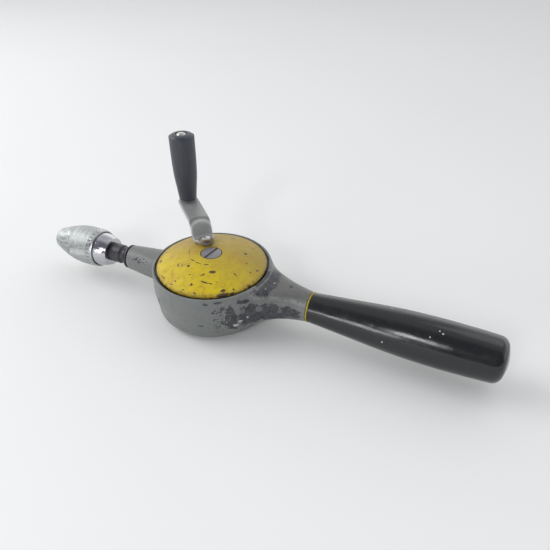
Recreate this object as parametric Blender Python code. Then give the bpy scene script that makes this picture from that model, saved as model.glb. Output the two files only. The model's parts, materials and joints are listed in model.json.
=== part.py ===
"""Hand drill with an enclosed crown gear, a crank on the gear's domed cover and a three-jaw chuck.

The drill lies on the flat back of its drum. +X runs along the spindle towards the chuck, +Z runs up
along the crank's axis, and the origin is the centre of the drum's flat back face.
"""

import math

import bmesh
import bpy
from mathutils import Matrix, Vector

MM = 0.001
GAP = 0.3 * MM  # clearance between pieces that touch or run on each other

# Heights above the drum's back face
SPINDLE_Z = 21.9 * MM
COVER_EDGE_Z = 36.0 * MM
COVER_APEX_Z = 44.2 * MM
RIM_Z = 35.2 * MM

# Drum
COVER_RADIUS = 36.0 * MM
COVER_THICKNESS = 1.8 * MM
COVER_RISE = COVER_APEX_Z - COVER_EDGE_Z
DOME_RADIUS = (COVER_RADIUS**2 + COVER_RISE**2) / (2 * COVER_RISE)
DRUM_RADIUS = 39.3 * MM
DRUM_FOOT_RADIUS = 37.7 * MM
DRUM_FOOT_FILLET = 8.0 * MM
RIM_INNER_RADIUS = 37.5 * MM
CUP_RADIUS = 35.8 * MM
CUP_FLOOR_Z = 3.5 * MM
CUP_FILLET = 6.0 * MM
CUP_STEP_Z = 33.0 * MM
PILLAR_RADIUS = 9.0 * MM
PILLAR_TOP_Z = 27.0 * MM
SCREW_HOLE_LOW_Z = 7.0 * MM
SCREW_TIP_Z = 9.0 * MM
TAIL_BLOCK_LENGTH = 17.0 * MM
TAIL_BLOCK_HALF_WIDTH = 6.2 * MM

# Necks of the housing
NECK_FRONT_ROOT_X = 33.0 * MM
NECK_FRONT_X = 65.5 * MM
NECK_FRONT_RADIUS = 8.6 * MM
NECK_REAR_X = -69.6 * MM
NECK_REAR_RADIUS = 9.7 * MM
NECK_REAR_ROOT_RADIUS = 41.0 * MM  # the flare leaves this circle about the drum's axis

# Gears: the crown gear's teeth point down onto a pinion on the spindle
MODULE = 1.2 * MM
GEAR_TEETH = 48
PINION_TEETH = 12
GEAR_PITCH_RADIUS = MODULE * GEAR_TEETH / 2
PINION_PITCH_RADIUS = MODULE * PINION_TEETH / 2
GEAR_FACE_INNER = 26.6 * MM
GEAR_FACE_OUTER = 31.2 * MM
PITCH_Z = SPINDLE_Z + PINION_PITCH_RADIUS
FLANGE_Z = 38.0 * MM

# Pivot of the crown gear
SLEEVE_RADIUS = 4.5 * MM
BUSH_RADIUS = 6.5 * MM
SCREW_SHANK_RADIUS = 3.0 * MM
SCREW_HEAD_RADIUS = 6.6 * MM
SCREW_TOP_Z = 43.8 * MM
SCREW_HEAD_HEIGHT = 2.6 * MM
WASHER_THICKNESS = 0.9 * MM
HUB_WASHER_THICKNESS = 0.8 * MM
HUB_LOW_Z = PILLAR_TOP_Z + HUB_WASHER_THICKNESS + 2 * GAP
SLOT_ANGLE = math.radians(-78.0)

# Crank
CRANK_ANGLE = math.radians(-44.0)
CRANK_RADIUS = 57.0 * MM
ARM_WIDTH = 14.3 * MM
ARM_THICKNESS = 2.4 * MM
ARM_TOP_Z = 54.3 * MM
ARM_RISE_ANGLE = math.radians(60.0)
ARM_KNEE_RADIUS = 26.0 * MM
RIVET_POSITION = 11.5 * MM
RIVET_HEAD_RADIUS = 5.1 * MM
RIVET_DOME_RADIUS = 6.2 * MM
RIVET_SHANK_RADIUS = 2.0 * MM
FOOT_RADIUS = 4.4 * MM
FOOT_TOUCH = RIVET_POSITION + 2.0 * MM
FOOT_TILT = math.asin(FOOT_TOUCH / DOME_RADIUS)
KNOB_BOTTOM_Z = 55.7 * MM
KNOB_TOP_Z = 103.3 * MM
KNOB_RADIUS = 8.55 * MM
KNOB_BOTTOM_RADIUS = 6.1 * MM
KNOB_BORE_RADIUS = 2.8 * MM
KNOB_RECESS_RADIUS = 4.0 * MM
KNOB_RECESS_DEPTH = 0.6 * MM
PIN_SHANK_RADIUS = 2.2 * MM
PIN_COLLAR_RADIUS = 3.3 * MM

# Spindle and bushes
JOURNAL_RADIUS = 4.5 * MM
SPINDLE_WAIST_RADIUS = 5.4 * MM
SPINDLE_COLLAR_RADIUS = 6.65 * MM
SPINDLE_FLANGE_RADIUS = 8.4 * MM
SPINDLE_FLANGE_X = 66.9 * MM
SPINDLE_TAIL_X = 9.1 * MM
SPINDLE_TIP_X = 91.7 * MM
SPINDLE_COLLAR_X = 74.6 * MM
JOURNAL_BACK_X = 34.0 * MM
BUSH_BORE_RADIUS = 6.3 * MM
BUSH_BACK_X = 36.0 * MM
BUSH_FLANGE_RADIUS = 7.2 * MM
BUSH_FLANGE_X = 64.5 * MM
BUSH_FACE_X = 65.6 * MM
TAIL_RADIUS = 2.5 * MM
REAR_BUSH_RADIUS = 3.6 * MM
REAR_BUSH_BACK_X = 9.2 * MM
REAR_BUSH_FRONT_X = 17.0 * MM
BALL_RADIUS = 1.6 * MM
BALL_X = 7.2 * MM
PINION_SEAT_RADIUS = 3.2 * MM
PINION_SEAT_X = 18.0 * MM
PINION_FRONT_X = 32.4 * MM
PINION_BACK_X = 25.6 * MM
PINION_HUB_X = 19.6 * MM
PIN_X = 22.3 * MM
PIN_RADIUS = 1.0 * MM

# Chuck
CHUCK_BACK_X = 83.2 * MM
CHUCK_BACK_RADIUS = 9.6 * MM
CHUCK_BARREL_RADIUS = 9.4 * MM
CHUCK_GUIDE_RADIUS = 12.1 * MM
CHUCK_GUIDE_X = 95.4 * MM
CHUCK_SEAT_X = 92.6 * MM
CHUCK_FACE_X = 108.3 * MM
SLEEVE_BACK_X = 92.5 * MM
SLEEVE_BORE_RADIUS = 12.4 * MM
THREAD_BACK_X = 104.8 * MM
THREAD_FRONT_X = 110.5 * MM
NOSE_X = 131.2 * MM
NOSE_BORE_RADIUS = 5.0 * MM
JAW_COUNT = 3
JAW_OPEN_RADIUS = 3.3 * MM
JAW_HALF_WIDTH = 2.0 * MM
JAW_FRONT_X = 129.0 * MM
CONE_SLOPE = 0.35
CONE_FRONT_RADIUS = 4.9 * MM
CONE_FRONT_X = 130.0 * MM
CONE_BACK_X = 117.0 * MM
CONE_WALL = 0.8 * MM
SPRING_X = 112.4 * MM

# Handle
HANDLE_FRONT_X = -70.9 * MM
HANDLE_BACK_X = -187.2 * MM
HANDLE_END_FILLET = 6.0 * MM
HANDLE_END_RADIUS = 13.8 * MM
RING_RADIUS = 10.0 * MM
STUD_RADIUS = 3.0 * MM
STUD_FRONT_X = -50.4 * MM
STUD_BACK_X = -127.0 * MM

FINE = 60
ROUND = 32
SMALL = 16


# --- materials -------------------------------------------------------------------------------


def finish(name, color, roughness, metallic):
    material = bpy.data.materials.new(name)
    material.use_nodes = True
    shader = material.node_tree.nodes["Principled BSDF"]
    shader.inputs["Base Color"].default_value = (*color, 1.0)
    shader.inputs["Roughness"].default_value = roughness
    shader.inputs["Metallic"].default_value = metallic
    material.diffuse_color = (*color, 1.0)
    return material


def make_finishes():
    return {
        "grey_paint": finish("grey_paint", (0.23, 0.235, 0.23), 0.42, 0.2),
        "yellow_paint": finish("yellow_paint", (0.58, 0.47, 0.06), 0.45, 0.0),
        "yellow_ring": finish("yellow_ring", (0.62, 0.50, 0.05), 0.4, 0.0),
        "black_gloss": finish("black_gloss", (0.035, 0.04, 0.042), 0.25, 0.0),
        "black_plastic": finish("black_plastic", (0.05, 0.058, 0.075), 0.45, 0.0),
        "black_steel": finish("black_steel", (0.06, 0.06, 0.065), 0.45, 0.6),
        "bright_steel": finish("bright_steel", (0.6, 0.6, 0.58), 0.3, 1.0),
        "plated_steel": finish("plated_steel", (0.5, 0.5, 0.49), 0.38, 0.9),
        "chrome": finish("chrome", (0.8, 0.8, 0.8), 0.12, 1.0),
        "satin_chrome": finish("satin_chrome", (0.72, 0.73, 0.73), 0.28, 1.0),
        "bronze": finish("bronze", (0.45, 0.3, 0.14), 0.4, 1.0),
        "cast_iron": finish("cast_iron", (0.2, 0.19, 0.18), 0.55, 0.7),
    }


# --- shape helpers ---------------------------------------------------------------------------


def arc(center, radius, start, end, count):
    """Points on a circle about center, from the angle start to the angle end, in degrees."""
    angles = [math.radians(start + (end - start) * i / count) for i in range(count + 1)]
    return [(center[0] + radius * math.cos(a), center[1] + radius * math.sin(a)) for a in angles]


def smooth_curve(points, steps):
    """A Catmull-Rom curve through the points."""
    ends = [points[0], *points, points[-1]]
    curve = []
    for i in range(1, len(ends) - 2):
        p0, p1, p2, p3 = (Vector(p) for p in ends[i - 1 : i + 3])
        for k in range(steps):
            t = k / steps
            bend = 2 * p1 + (p2 - p0) * t
            bend += (2 * p0 - 5 * p1 + 4 * p2 - p3) * t**2
            bend += (3 * p1 - p0 - 3 * p2 + p3) * t**3
            curve.append(tuple(bend / 2))
    return [*curve, tuple(points[-1])]


def new_object(name, bm, material, sharp=35.0):
    bmesh.ops.recalc_face_normals(bm, faces=bm.faces)
    mesh = bpy.data.meshes.new(name)
    bm.to_mesh(mesh)
    bm.free()
    mesh.shade_smooth()
    mesh.set_sharp_from_angle(angle=math.radians(sharp))
    obj = bpy.data.objects.new(name, mesh)
    bpy.context.scene.collection.objects.link(obj)
    if material:
        mesh.materials.append(material)
    return obj


def turned_bmesh(outline, segments, along_x=False):
    """Spins an outline of (radius, height) points about +Z, or about +X."""
    bm = bmesh.new()
    verts = [bm.verts.new((radius, 0.0, height)) for radius, height in outline]
    edges = [bm.edges.new(pair) for pair in zip(verts, verts[1:])]
    if outline[0][0] > 0 or outline[-1][0] > 0:
        edges.append(bm.edges.new((verts[-1], verts[0])))
    turn = {"cent": (0, 0, 0), "axis": (0, 0, 1), "angle": math.tau}
    bmesh.ops.spin(bm, geom=verts + edges, steps=segments, use_merge=True, **turn)
    bmesh.ops.remove_doubles(bm, verts=bm.verts, dist=1e-6)
    if along_x:
        bmesh.ops.rotate(bm, verts=bm.verts, matrix=Matrix.Rotation(math.radians(90), 3, "Y"))
    return bm


def turned(name, outline, material, segments=ROUND, along_x=False):
    return new_object(name, turned_bmesh(outline, segments, along_x), material)


def tube_outline(inner, outer, low, high):
    return [(inner, low), (outer, low), (outer, high), (inner, high)]


def rod_outline(radius, low, high):
    return [(0.0, low), (radius, low), (radius, high), (0.0, high)]


def skin_rings(bm, rings):
    """Joins closed rings of points into one closed skin. Each end is a fan about its middle."""
    loops = [[bm.verts.new(point) for point in ring] for ring in rings]
    count = len(loops[0])
    for one, two in zip(loops, loops[1:]):
        for i in range(count):
            j = (i + 1) % count
            bm.faces.new((one[i], one[j], two[j], two[i]))
    for loop in (loops[0], loops[-1]):
        middle = bm.verts.new(sum((vert.co for vert in loop), Vector()) / count)
        for i in range(count):
            bm.faces.new((loop[i], loop[(i + 1) % count], middle))


def block(low, high):
    """A box between two corners."""
    bm = bmesh.new()
    bmesh.ops.create_cube(bm, size=1.0)
    size = Vector(high) - Vector(low)
    middle = (Vector(high) + Vector(low)) / 2
    bmesh.ops.scale(bm, vec=size, verts=bm.verts)
    bmesh.ops.translate(bm, vec=middle, verts=bm.verts)
    return bm


def weld(mesh):
    """Merges points that lie within 3 micrometres of each other."""
    bm = bmesh.new()
    bm.from_mesh(mesh)
    bmesh.ops.remove_doubles(bm, verts=bm.verts, dist=3e-6)
    bmesh.ops.dissolve_degenerate(bm, edges=bm.edges, dist=3e-6)
    bm.to_mesh(mesh)
    bm.free()


def combine(target, tools):
    """Applies Boolean steps, each a bmesh or an object with UNION, DIFFERENCE or INTERSECT."""
    helpers = []
    for shape, operation in tools:
        if isinstance(shape, bmesh.types.BMesh):
            shape = new_object(f"{target.name}_tool", shape, None)
        shape.hide_render = True
        shape.display_type = "WIRE"
        helpers.append(shape)
        step = target.modifiers.new(operation.lower(), "BOOLEAN")
        step.solver = "EXACT"
        step.operation = operation
        step.object = shape
    bpy.context.view_layer.update()
    graph = bpy.context.evaluated_depsgraph_get()
    material = target.data.materials[0]
    mesh = bpy.data.meshes.new_from_object(target.evaluated_get(graph))
    weld(mesh)
    target.modifiers.clear()
    target.data = mesh
    mesh.materials.clear()
    mesh.materials.append(material)
    mesh.polygons.foreach_set("material_index", [0] * len(mesh.polygons))
    mesh.shade_smooth()
    mesh.set_sharp_from_angle(angle=math.radians(35.0))
    for helper in helpers:
        bpy.data.objects.remove(helper)
    return target


def superellipse(half_width, low, high, power, count):
    """(y, z) points of a rounded box between two heights. A power of 2 gives an ellipse."""
    middle = (low + high) / 2
    points = []
    for i in range(count):
        a = math.tau * (i + 0.5) / count
        c, s = math.cos(a), math.sin(a)
        y = half_width * math.copysign(abs(c) ** (2 / power), c)
        z = (high - low) / 2 * math.copysign(abs(s) ** (2 / power), s)
        points.append((y, middle + z))
    return points


# --- housing ---------------------------------------------------------------------------------


def drum_outline():
    """The drum's outside: flat back, filleted foot, slight draft and a narrow rounded rim."""
    foot = arc((DRUM_FOOT_RADIUS - DRUM_FOOT_FILLET, DRUM_FOOT_FILLET), DRUM_FOOT_FILLET, -90, 0, 5)
    side = [(DRUM_RADIUS - 0.3 * MM, 20.0 * MM), (DRUM_RADIUS, 30.0 * MM)]
    rim = [(DRUM_RADIUS, RIM_Z - 0.9 * MM), (DRUM_RADIUS - 0.5 * MM, RIM_Z), (0.0, RIM_Z)]
    return [(0.0, 0.0), *foot, *side, *rim]


def cup_outline():
    """The hollow inside the drum, wider above a step where the cover's edge runs."""
    corner = arc((CUP_RADIUS - CUP_FILLET, CUP_FLOOR_Z + CUP_FILLET), CUP_FILLET, -90, 0, 4)
    above = RIM_Z + 5.0 * MM
    top = [(CUP_RADIUS, CUP_STEP_Z), (RIM_INNER_RADIUS, CUP_STEP_Z), (RIM_INNER_RADIUS, above)]
    return [(0.0, CUP_FLOOR_Z), *corner, *top, (0.0, above)]


def front_neck_rings():
    """A box-like root in the drum's wall that becomes round where the spindle comes out."""
    rings = []
    for i in range(5):
        t = i / 4
        x = NECK_FRONT_ROOT_X + (NECK_FRONT_X - NECK_FRONT_ROOT_X) * t
        half = NECK_FRONT_RADIUS + 4.0 * MM * (1 - t)
        low = SPINDLE_Z - NECK_FRONT_RADIUS - 1.2 * MM * (1 - t)
        high = SPINDLE_Z + NECK_FRONT_RADIUS + 0.8 * MM * (1 - t)
        power = 2.0 + 0.8 * (1 - t)
        rings.append([(x, y, z) for y, z in superellipse(half, low, high, power, 24)])
    tip = [(x + 0.7 * MM, y * 0.93, SPINDLE_Z + (z - SPINDLE_Z) * 0.93) for x, y, z in rings[-1]]
    return [*rings, tip]


def rear_neck_rings():
    """A flare whose plan is an arc that leaves the drum's side tangentially and ends at the handle."""
    root = NECK_REAR_ROOT_RADIUS
    flare = (NECK_REAR_X**2 + NECK_REAR_RADIUS**2 - root**2) / (2 * (root - NECK_REAR_RADIUS))
    tangent_x = NECK_REAR_X * root / (root + flare)
    rings = []
    for i in range(9):
        t = i / 8
        x = tangent_x + (NECK_REAR_X - tangent_x) * t
        half = NECK_REAR_RADIUS + flare - math.sqrt(flare**2 - (x - NECK_REAR_X) ** 2)
        low = SPINDLE_Z - NECK_REAR_RADIUS - 8.0 * MM * (1 - t) ** 3
        high = SPINDLE_Z + NECK_REAR_RADIUS + 2.6 * MM * (1 - t) ** 0.8
        power = 2.0 + 2.4 * (1 - t)
        rings.append([(x, y, z) for y, z in superellipse(half, low, high, power, 24)])
    inside = [(x + 7.0 * MM, y * 0.88, z) for x, y, z in rings[0]]
    return [inside, *rings]


def lofted(rings):
    bm = bmesh.new()
    skin_rings(bm, rings)
    bmesh.ops.recalc_face_normals(bm, faces=bm.faces)
    return bm


def spindle_bore(radius, back, front):
    """A cutter along the spindle's axis."""
    bm = turned_bmesh(rod_outline(radius, back, front), ROUND, along_x=True)
    bmesh.ops.translate(bm, vec=(0, 0, SPINDLE_Z), verts=bm.verts)
    return bm


def make_housing(material):
    housing = turned("housing", drum_outline(), material, FINE)
    pillar = turned_bmesh(rod_outline(PILLAR_RADIUS, 2.0 * MM, PILLAR_TOP_Z), ROUND)
    low_corner = (1.0 * MM, -TAIL_BLOCK_HALF_WIDTH, 2.0 * MM)
    high_corner = (TAIL_BLOCK_LENGTH, TAIL_BLOCK_HALF_WIDTH, PILLAR_TOP_Z - 0.1 * MM)
    tail_block = block(low_corner, high_corner)
    screw_hole = turned_bmesh(rod_outline(SCREW_SHANK_RADIUS + GAP, SCREW_HOLE_LOW_Z, 30.0 * MM), SMALL)
    stud_hole = spindle_bore(STUD_RADIUS + GAP, -75.0 * MM, STUD_FRONT_X + 0.4 * MM)
    mouth_radius = BUSH_FLANGE_RADIUS + GAP
    return combine(
        housing,
        [
            (lofted(front_neck_rings()), "UNION"),
            (lofted(rear_neck_rings()), "UNION"),
            (turned_bmesh(cup_outline(), FINE), "DIFFERENCE"),
            (pillar, "UNION"),
            (tail_block, "UNION"),
            (spindle_bore(REAR_BUSH_RADIUS + GAP, 5.2 * MM, 20.0 * MM), "DIFFERENCE"),
            (spindle_bore(BUSH_BORE_RADIUS, 30.0 * MM, 70.0 * MM), "DIFFERENCE"),
            (spindle_bore(mouth_radius, BUSH_FLANGE_X - GAP, 70.0 * MM), "DIFFERENCE"),
            (screw_hole, "DIFFERENCE"),
            (stud_hole, "DIFFERENCE"),
        ],
    )


# --- bearings and pivot ----------------------------------------------------------------------


def on_spindle(obj):
    obj.location.z = SPINDLE_Z
    return obj


def make_bushes(material):
    bore = JOURNAL_RADIUS + GAP
    outside = BUSH_BORE_RADIUS - GAP
    barrel = [(bore, BUSH_BACK_X), (outside, BUSH_BACK_X), (outside, BUSH_FLANGE_X)]
    flange = [(BUSH_FLANGE_RADIUS, BUSH_FLANGE_X), (BUSH_FLANGE_RADIUS, BUSH_FACE_X), (bore, BUSH_FACE_X)]
    on_spindle(turned("front_bush", barrel + flange, material, ROUND, along_x=True))
    rear = tube_outline(TAIL_RADIUS + GAP, REAR_BUSH_RADIUS, REAR_BUSH_BACK_X, REAR_BUSH_FRONT_X)
    on_spindle(turned("rear_bush", rear, material, SMALL, along_x=True))


def make_thrust_ball(material):
    """A ball that takes the drilling thrust between the spindle's tail and the pillar."""
    bm = bmesh.new()
    bmesh.ops.create_icosphere(bm, subdivisions=2, radius=BALL_RADIUS)
    ball = new_object("thrust_ball", bm, material, sharp=80.0)
    ball.location = (BALL_X, 0, SPINDLE_Z)


def make_pivot(steel, bronze):
    sleeve_top = SCREW_TOP_Z - SCREW_HEAD_HEIGHT - WASHER_THICKNESS - 2 * GAP
    bore = SCREW_SHANK_RADIUS + GAP
    turned("pivot_sleeve", tube_outline(bore, SLEEVE_RADIUS, PILLAR_TOP_Z + GAP, sleeve_top), steel, SMALL)
    low = sleeve_top + GAP
    turned("pivot_washer", tube_outline(bore, 6.3 * MM, low, low + WASHER_THICKNESS), steel, SMALL)
    outline = tube_outline(SLEEVE_RADIUS + GAP, PILLAR_RADIUS, PILLAR_TOP_Z + GAP, HUB_LOW_Z - GAP)
    turned("hub_washer", outline, bronze, SMALL)


def make_pivot_screw(material):
    """A slotted screw on the crank's axis. It clamps the sleeve that the crown gear runs on."""
    head_low = SCREW_TOP_Z - SCREW_HEAD_HEIGHT
    edge = 0.35 * MM
    outline = [
        (0.0, SCREW_TIP_Z),
        (SCREW_SHANK_RADIUS - 0.6 * MM, SCREW_TIP_Z),
        (SCREW_SHANK_RADIUS, SCREW_TIP_Z + 0.8 * MM),
        (SCREW_SHANK_RADIUS, head_low),
        (SCREW_HEAD_RADIUS, head_low),
        (SCREW_HEAD_RADIUS, SCREW_TOP_Z - edge),
        (SCREW_HEAD_RADIUS - edge, SCREW_TOP_Z),
        (0.0, SCREW_TOP_Z),
    ]
    screw = turned("pivot_screw", outline, material, ROUND)
    slot = block((-8 * MM, -0.75 * MM, SCREW_TOP_Z - 1.3 * MM), (8 * MM, 0.75 * MM, SCREW_TOP_Z + 1 * MM))
    bmesh.ops.rotate(slot, verts=slot.verts, matrix=Matrix.Rotation(SLOT_ANGLE, 3, "Z"))
    combine(screw, [(slot, "DIFFERENCE")])


# --- crown gear, cover and pinion ------------------------------------------------------------


def dome_z(radius):
    """Height of the cover's top at a distance from the crank's axis: part of a sphere."""
    return COVER_APEX_Z - DOME_RADIUS + math.sqrt(DOME_RADIUS**2 - radius**2)


def rivet_matrix():
    """From the rivet's own frame, square to the crank arm's foot with its origin on the cover's top."""
    point = (RIVET_POSITION, 0.0, dome_z(RIVET_POSITION))
    tilt = Matrix.Rotation(FOOT_TILT, 4, "Y")
    return Matrix.Rotation(CRANK_ANGLE, 4, "Z") @ Matrix.Translation(point) @ tilt


def rivet_hole():
    bm = turned_bmesh(rod_outline(RIVET_SHANK_RADIUS + GAP, -9.0 * MM, 9.0 * MM), SMALL)
    bmesh.ops.transform(bm, matrix=rivet_matrix(), verts=bm.verts)
    return bm


def make_cover(material):
    """The domed cover, with a plain edge and a hole for the pivot screw's head."""
    hole = SCREW_HEAD_RADIUS + 0.5 * MM
    steps = 4
    radii = [hole + (COVER_RADIUS - 0.5 * MM - hole) * i / steps for i in range(steps + 1)]
    top = [(r, dome_z(r)) for r in radii]
    edge = [(COVER_RADIUS, COVER_EDGE_Z - 0.3 * MM), (COVER_RADIUS, COVER_EDGE_Z - COVER_THICKNESS)]
    under = [(r, dome_z(r) - COVER_THICKNESS) for r in reversed(radii)]
    cover = turned("cover_disc", [*top, *edge, *under], material, FINE)
    combine(cover, [(rivet_hole(), "DIFFERENCE")])


def gear_blank_outline():
    under = GAP + COVER_THICKNESS
    counterbore = SCREW_HEAD_RADIUS + 0.7 * MM
    bore = BUSH_RADIUS + GAP
    root_z = PITCH_Z + 1.5 * MM
    shelf = 39.6 * MM
    return [
        (bore, HUB_LOW_Z),
        (8.0 * MM, HUB_LOW_Z),
        (8.0 * MM, FLANGE_Z),
        (15.0 * MM, FLANGE_Z),
        (24.5 * MM, 32.8 * MM),
        (GEAR_FACE_INNER - 0.8 * MM, root_z),
        (GEAR_FACE_OUTER + 0.8 * MM, root_z),
        (34.2 * MM, 32.0 * MM),
        (34.2 * MM, 33.6 * MM),
        (30.0 * MM, 34.6 * MM),
        (25.5 * MM, 34.9 * MM),
        (19.0 * MM, dome_z(19.0 * MM) - under),
        (14.0 * MM, dome_z(14.0 * MM) - under),
        (counterbore, dome_z(counterbore) - under),
        (counterbore, shelf),
        (bore, shelf),
    ]


def add_crown_tooth(bm, angle):
    """A radial wedge that hangs below the gear's root plane, thinner at its tip."""
    root_z = PITCH_Z + 1.6 * MM
    tip_z = PITCH_Z - 0.95 * MM
    corners = []
    for radius in (GEAR_FACE_INNER, GEAR_FACE_OUTER):
        share = radius / GEAR_PITCH_RADIUS
        for half, z in ((0.78 * MM * share, root_z), (0.36 * MM * share, tip_z)):
            corners += [(radius, -half, z), (radius, half, z)]
    turn = Matrix.Rotation(angle, 3, "Z")
    verts = [bm.verts.new(turn @ Vector(corner)) for corner in corners]
    faces = [(0, 1, 3, 2), (4, 6, 7, 5), (0, 4, 5, 1), (2, 3, 7, 6), (0, 2, 6, 4), (1, 5, 7, 3)]
    for face in faces:
        bm.faces.new([verts[i] for i in face])


def make_drive_gear(material, bronze):
    gear = turned("drive_gear", gear_blank_outline(), material, GEAR_TEETH)
    teeth = bmesh.new()
    for i in range(GEAR_TEETH):
        add_crown_tooth(teeth, math.tau * (i + 0.5) / GEAR_TEETH)
    bmesh.ops.recalc_face_normals(teeth, faces=teeth.faces)
    combine(gear, [(teeth, "UNION"), (rivet_hole(), "DIFFERENCE")])
    outline = tube_outline(SLEEVE_RADIUS + GAP, BUSH_RADIUS, HUB_LOW_Z, 39.5 * MM)
    turned("gear_bush", outline, bronze, SMALL)


def pinion_ring(x, toothed):
    """The pinion's outline at x: one tooth is centred straight above the spindle's axis."""
    root = PINION_PITCH_RADIUS - 1.6 * MM
    flank = root + 0.9 * MM
    top = PINION_PITCH_RADIUS + 1.2 * MM
    half = ((1.9, top), (4.4, flank), (6.5, root))
    shape = [(-angle, radius) for angle, radius in reversed(half)] + list(half)
    points = []
    for i in range(PINION_TEETH):
        for offset, radius in shape:
            a = math.radians(360.0 * i / PINION_TEETH + offset)
            reach = radius if toothed else 5.3 * MM
            points.append((x, reach * math.sin(a), reach * math.cos(a)))
    return points


def make_pinion(material):
    stations = ((PINION_HUB_X, False), (PINION_BACK_X, False), (PINION_BACK_X, True), (PINION_FRONT_X, True))
    pinion = new_object("pinion", lofted([pinion_ring(x, toothed) for x, toothed in stations]), material)
    bore = turned_bmesh(rod_outline(PINION_SEAT_RADIUS + GAP, 15 * MM, 40 * MM), ROUND, along_x=True)
    combine(pinion, [(bore, "DIFFERENCE"), (pin_hole(), "DIFFERENCE")])
    on_spindle(pinion)


def pin_hole():
    """A cutter for the cross pin, turned a little so that no edge meets one of the bore's."""
    bm = turned_bmesh(rod_outline(PIN_RADIUS + GAP, -9.0 * MM, 9.0 * MM), SMALL)
    bmesh.ops.rotate(bm, verts=bm.verts, matrix=Matrix.Rotation(math.radians(7.0), 3, "Z"))
    bmesh.ops.translate(bm, vec=(PIN_X, 0, 0), verts=bm.verts)
    return bm


def make_pinion_pin(material):
    pin = turned("pinion_pin", rod_outline(PIN_RADIUS, -5.2 * MM, 5.2 * MM), material, SMALL)
    pin.location = (PIN_X, 0, SPINDLE_Z)


# --- spindle ---------------------------------------------------------------------------------


def make_spindle(material, bronze):
    flange_x = SPINDLE_FLANGE_X
    neck = smooth_curve(
        [
            (SPINDLE_FLANGE_RADIUS, flange_x + 1.0 * MM),
            (6.6 * MM, flange_x + 2.6 * MM),
            (SPINDLE_WAIST_RADIUS, flange_x + 4.2 * MM),
        ],
        3,
    )
    outline = [
        (0.0, SPINDLE_TAIL_X),
        (TAIL_RADIUS, SPINDLE_TAIL_X),
        (TAIL_RADIUS, PINION_SEAT_X),
        (PINION_SEAT_RADIUS, PINION_SEAT_X),
        (PINION_SEAT_RADIUS, JOURNAL_BACK_X),
        (JOURNAL_RADIUS, JOURNAL_BACK_X),
        (JOURNAL_RADIUS, flange_x),
        (SPINDLE_FLANGE_RADIUS, flange_x),
        *neck,
        (SPINDLE_WAIST_RADIUS, SPINDLE_COLLAR_X - 1.0 * MM),
        (SPINDLE_COLLAR_RADIUS, SPINDLE_COLLAR_X),
        (SPINDLE_COLLAR_RADIUS, CHUCK_BACK_X - GAP),
        (JOURNAL_RADIUS, CHUCK_BACK_X - GAP),
        (JOURNAL_RADIUS, SPINDLE_TIP_X - 0.7 * MM),
        (JOURNAL_RADIUS - 0.7 * MM, SPINDLE_TIP_X),
        (0.0, SPINDLE_TIP_X),
    ]
    spindle = turned("spindle", outline, material, ROUND, along_x=True)
    combine(spindle, [(pin_hole(), "DIFFERENCE")])
    on_spindle(spindle)
    inner, outer = JOURNAL_RADIUS + GAP, BUSH_FLANGE_RADIUS
    washer = tube_outline(inner, outer, BUSH_FACE_X + GAP, SPINDLE_FLANGE_X - GAP)
    on_spindle(turned("thrust_washer", washer, bronze, SMALL, along_x=True))


# --- chuck -----------------------------------------------------------------------------------


def cone_radius(x):
    """Inside radius of the jaw cone."""
    return CONE_FRONT_RADIUS + CONE_SLOPE * (CONE_FRONT_X - x)


def make_chuck_body(material):
    """The smooth back of the chuck, its guide for the sleeve and its threaded barrel."""
    back = smooth_curve(
        [
            (CHUCK_BACK_RADIUS, CHUCK_BACK_X + 0.4 * MM),
            (10.8 * MM, CHUCK_BACK_X + 2.9 * MM),
            (11.6 * MM, CHUCK_BACK_X + 6.0 * MM),
            (CHUCK_GUIDE_RADIUS, SLEEVE_BACK_X),
        ],
        2,
    )
    thread = JOURNAL_RADIUS + GAP
    outline = [
        (CHUCK_BACK_RADIUS - 0.4 * MM, CHUCK_BACK_X),
        *back,
        (CHUCK_GUIDE_RADIUS, CHUCK_GUIDE_X),
        (CHUCK_BARREL_RADIUS, CHUCK_GUIDE_X),
        (CHUCK_BARREL_RADIUS, CHUCK_FACE_X - 0.6 * MM),
        (CHUCK_BARREL_RADIUS - 0.6 * MM, CHUCK_FACE_X),
        (thread - 0.8 * MM, CHUCK_FACE_X),
        (thread - 0.8 * MM, CHUCK_SEAT_X),
        (thread, CHUCK_SEAT_X),
        (thread, CHUCK_BACK_X),
    ]
    on_spindle(turned("chuck_body", outline, material, ROUND, along_x=True))


def make_chuck_sleeve(material):
    """The sleeve screws along the body's barrel and pushes the jaw cone back over the jaws."""
    outside = smooth_curve(
        [
            (13.7 * MM, 95.2 * MM),
            (14.0 * MM, 101.0 * MM),
            (13.9 * MM, 107.0 * MM),
            (13.2 * MM, 112.4 * MM),
            (11.6 * MM, 118.2 * MM),
            (9.7 * MM, 124.0 * MM),
            (7.4 * MM, 129.8 * MM),
            (6.2 * MM, NOSE_X),
        ],
        1,
    )
    clear = CONE_WALL + 2 * GAP - 0.1 * MM
    outline = [
        (SLEEVE_BORE_RADIUS, SLEEVE_BACK_X),
        (13.2 * MM, SLEEVE_BACK_X),
        (13.7 * MM, SLEEVE_BACK_X + 0.6 * MM),
        *outside,
        (NOSE_BORE_RADIUS, NOSE_X),
        (NOSE_BORE_RADIUS, CONE_FRONT_X + GAP),
        (cone_radius(CONE_FRONT_X) + clear, CONE_FRONT_X + GAP),
        (cone_radius(CONE_BACK_X) + clear, CONE_BACK_X),
        (cone_radius(CONE_BACK_X) + clear, THREAD_FRONT_X),
        (CHUCK_BARREL_RADIUS + GAP, THREAD_FRONT_X),
        (CHUCK_BARREL_RADIUS + GAP, THREAD_BACK_X),
        (SLEEVE_BORE_RADIUS, THREAD_BACK_X),
    ]
    on_spindle(turned("chuck_sleeve", outline, material, ROUND, along_x=True))


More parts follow.
